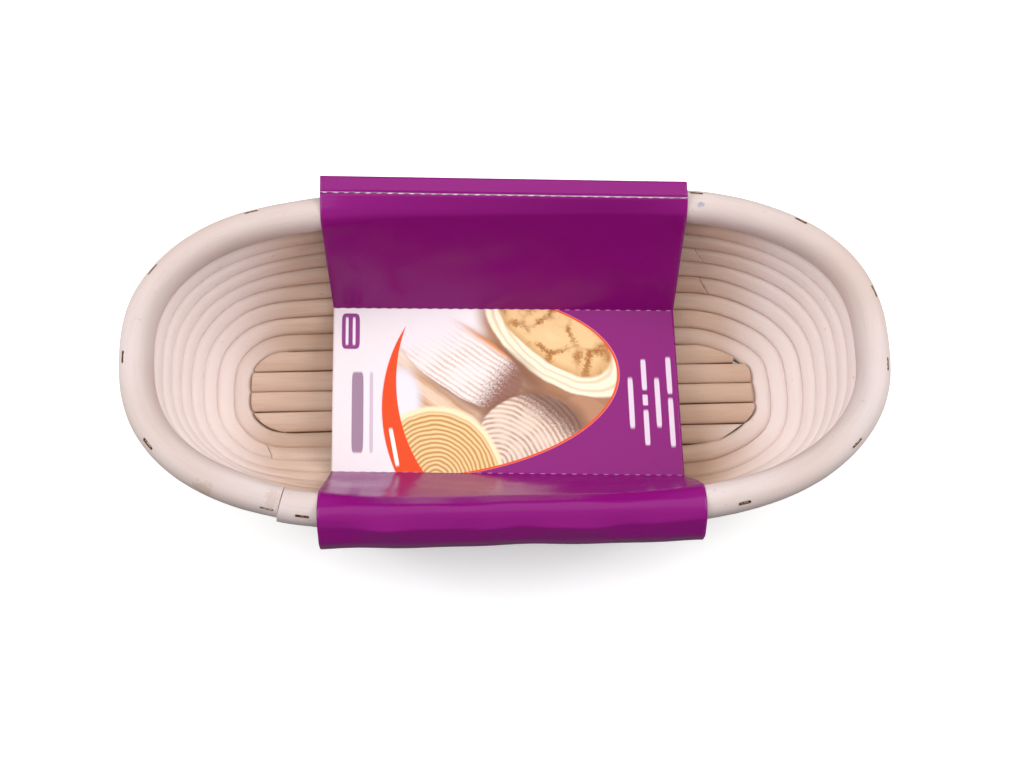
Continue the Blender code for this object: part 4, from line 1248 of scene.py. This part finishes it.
def perforation_tree():
    """Geometry Nodes: burrs of torn board, a pitch apart along the crease, each a little different."""
    tree, given = new_group("Geometry", "perforation_burrs", (
        ("Geometry", "Crease"), ("Vector", "Burr Size"), ("Float", "Pitch"), ("Int", "Seed"),
        ("Material", "Material")), [("Geometry", "Burrs")])
    crease = output(tree, "GeometryNodeMeshToCurve", Mesh=given["Crease"])
    spaced = output(tree, "GeometryNodeResampleCurve", {"mode": "LENGTH"}, Curve=crease,
                    Length=given["Pitch"])
    flat = output(tree, "GeometryNodeMeshCube", Size=(1.0, 1.0, 1.0), Vertices_X=5, Vertices_Y=3,
                  Vertices_Z=2)
    place = node(tree, "ShaderNodeSeparateXYZ", Vector=output(tree, "GeometryNodeInputPosition"))
    narrowed = 1.0 - abs(place.outputs[0]) * 0.9
    lens = output(tree, "ShaderNodeCombineXYZ", X=place.outputs[0], Z=place.outputs[2] * narrowed,
                  Y=place.outputs[1] * narrowed)
    shaped = output(tree, "GeometryNodeSetPosition", Geometry=flat,
                    Position=vector_maths("MULTIPLY", lens, given["Burr Size"]))
    varied = node(tree, "FunctionNodeRandomValue", {"data_type": "FLOAT_VECTOR"}, Seed=given["Seed"])
    varied.inputs[0].default_value = (0.82, 0.7, 0.8)
    varied.inputs[1].default_value = (1.08, 1.25, 1.2)
    tilted = node(tree, "FunctionNodeRandomValue", {"data_type": "FLOAT_VECTOR"}, Seed=given["Seed"])
    tilted.inputs[0].default_value = (-0.25, -0.03, -0.05)
    tilted.inputs[1].default_value = (0.25, 0.03, 0.05)
    placed = output(tree, "GeometryNodeInstanceOnPoints", Points=spaced, Instance=shaped,
                    Scale=varied.outputs[0])
    turned = node(tree, "GeometryNodeRotateInstances", Instances=placed)
    put(turned.inputs[2], tilted.outputs[0])
    real = output(tree, "GeometryNodeRealizeInstances", Geometry=turned.outputs[0])
    smooth = output(tree, "GeometryNodeSetShadeSmooth", Geometry=real)
    painted = output(tree, "GeometryNodeSetMaterial", Geometry=smooth, Material=given["Material"])
    return finish_group(tree, painted)


burr_y = BACK_CREASE_Y - BACK_CREASE_GAP - BURR_WIDTH / 2
burr_z = CREST_Z + CARD_THICKNESS / 2
burr_reach = SLEEVE_HALF - 0.0018
crease_line = bpy.data.meshes.new("crease_line")
ends = [(x, burr_y - SLEEVE_SKEW * x / SLEEVE_HALF, burr_z) for x in (-burr_reach, burr_reach)]
crease_line.from_pydata(ends, [(0, 1)], [])
burrs = run_tree("perforation_burrs", crease_line, perforation_tree(), Pitch=PERFORATION_PITCH, Seed=5,
                 Burr_Size=(BURR_LENGTH, BURR_WIDTH, BURR_HEIGHT), Material=cut_board)
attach(burrs, TROUGH)

# ---------------------------------------------------------------------------------------------
# Studio. The basket stands on a pale table between two soft side lights, with a weak overhead
# one and a pale dome, seen from a little in front of straight above.
# ---------------------------------------------------------------------------------------------
FOCAL_LENGTH = 45.105
ELEVATION = math.radians(76.07)
SIDE_TILT = math.radians(-1.75)
ROLL = math.radians(-1.12)
DISTANCE = 0.4698
LOOK_AT = Vector((0.0012, -0.0111, 0.0603))
camera_data = bpy.data.cameras.new("camera")
camera_data.lens = FOCAL_LENGTH
camera = add_object("camera", camera_data)
backward = Vector((math.tan(SIDE_TILT), -math.cos(ELEVATION), math.sin(ELEVATION))).normalized()
level_right = (Vector((1, 0, 0)) - backward * backward.x).normalized()
level_up = backward.cross(level_right)
right = level_right * math.cos(ROLL) + level_up * math.sin(ROLL)
up = level_up * math.cos(ROLL) - level_right * math.sin(ROLL)
facing = Matrix((right, up, backward)).transposed().to_4x4()
facing.translation = LOOK_AT + backward * DISTANCE
camera.matrix_world = facing
bpy.context.scene.camera = camera
bpy.context.scene.view_settings.view_transform = "Standard"

ZENITH_LIGHT = 0.58
HORIZON_LIGHT = 0.12
world = bpy.data.worlds.new("studio")
bpy.context.scene.world = world
world.use_nodes = True
sky = world.node_tree
direction = node(sky, "ShaderNodeTexCoord").outputs["Generated"]
height = node(sky, "ShaderNodeSeparateXYZ", Vector=direction).outputs["Z"]
dome = node(sky, "ShaderNodeMapRange", Value=height)
for target, value in zip(dome.inputs[1:5], (0.0, 0.9, HORIZON_LIGHT, ZENITH_LIGHT)):
    target.default_value = value
seen = node(sky, "ShaderNodeLightPath").outputs["Is Camera Ray"]
backdrop = maths("MAXIMUM", dome.outputs[0], seen)
put(sky.nodes["Background"].inputs["Color"], (1.0, 1.0, 1.0, 1.0))
put(sky.nodes["Background"].inputs["Strength"], backdrop)

SOFTBOXES = (("left", (-0.95, 0.15, 0.75), 0.8, 9.0), ("right", (0.95, 0.15, 0.75), 0.8, 9.0),
             ("overhead", (0.0, 0.35, 1.10), 0.9, 3.0))
for side, place, size, power in SOFTBOXES:
    softbox_data = bpy.data.lights.new(side + "_softbox", "AREA")
    softbox_data.size = size
    softbox_data.energy = power
    softbox = add_object(side + "_softbox", softbox_data)
    softbox.location = place
    softbox.rotation_euler = (Vector((0, 0, 0.03)) - softbox.location).to_track_quat("-Z", "Y").to_euler()

TABLE_Z = -0.0004
table_mesh = bpy.data.meshes.new("table")
corners = ((-2, -2), (2, -2), (2, 2), (-2, 2))
table_mesh.from_pydata([(x, y, TABLE_Z) for x, y in corners], [], [(0, 1, 2, 3)])
table = add_object("table", table_mesh)
table_top, tree, shader = new_material("pale_table")
seen = node(tree, "ShaderNodeLightPath").outputs["Is Camera Ray"]
put_all(shader, Base_Color=mix_colour(seen, (0.22, 0.22, 0.22, 1.0), (0.97, 0.97, 0.97, 1.0)),
        Emission_Color=mix_colour(seen, (0.0, 0.0, 0.0, 1.0), (0.3, 0.3, 0.3, 1.0)),
        Emission_Strength=1.0, Roughness=0.9)
table_mesh.materials.append(table_top)
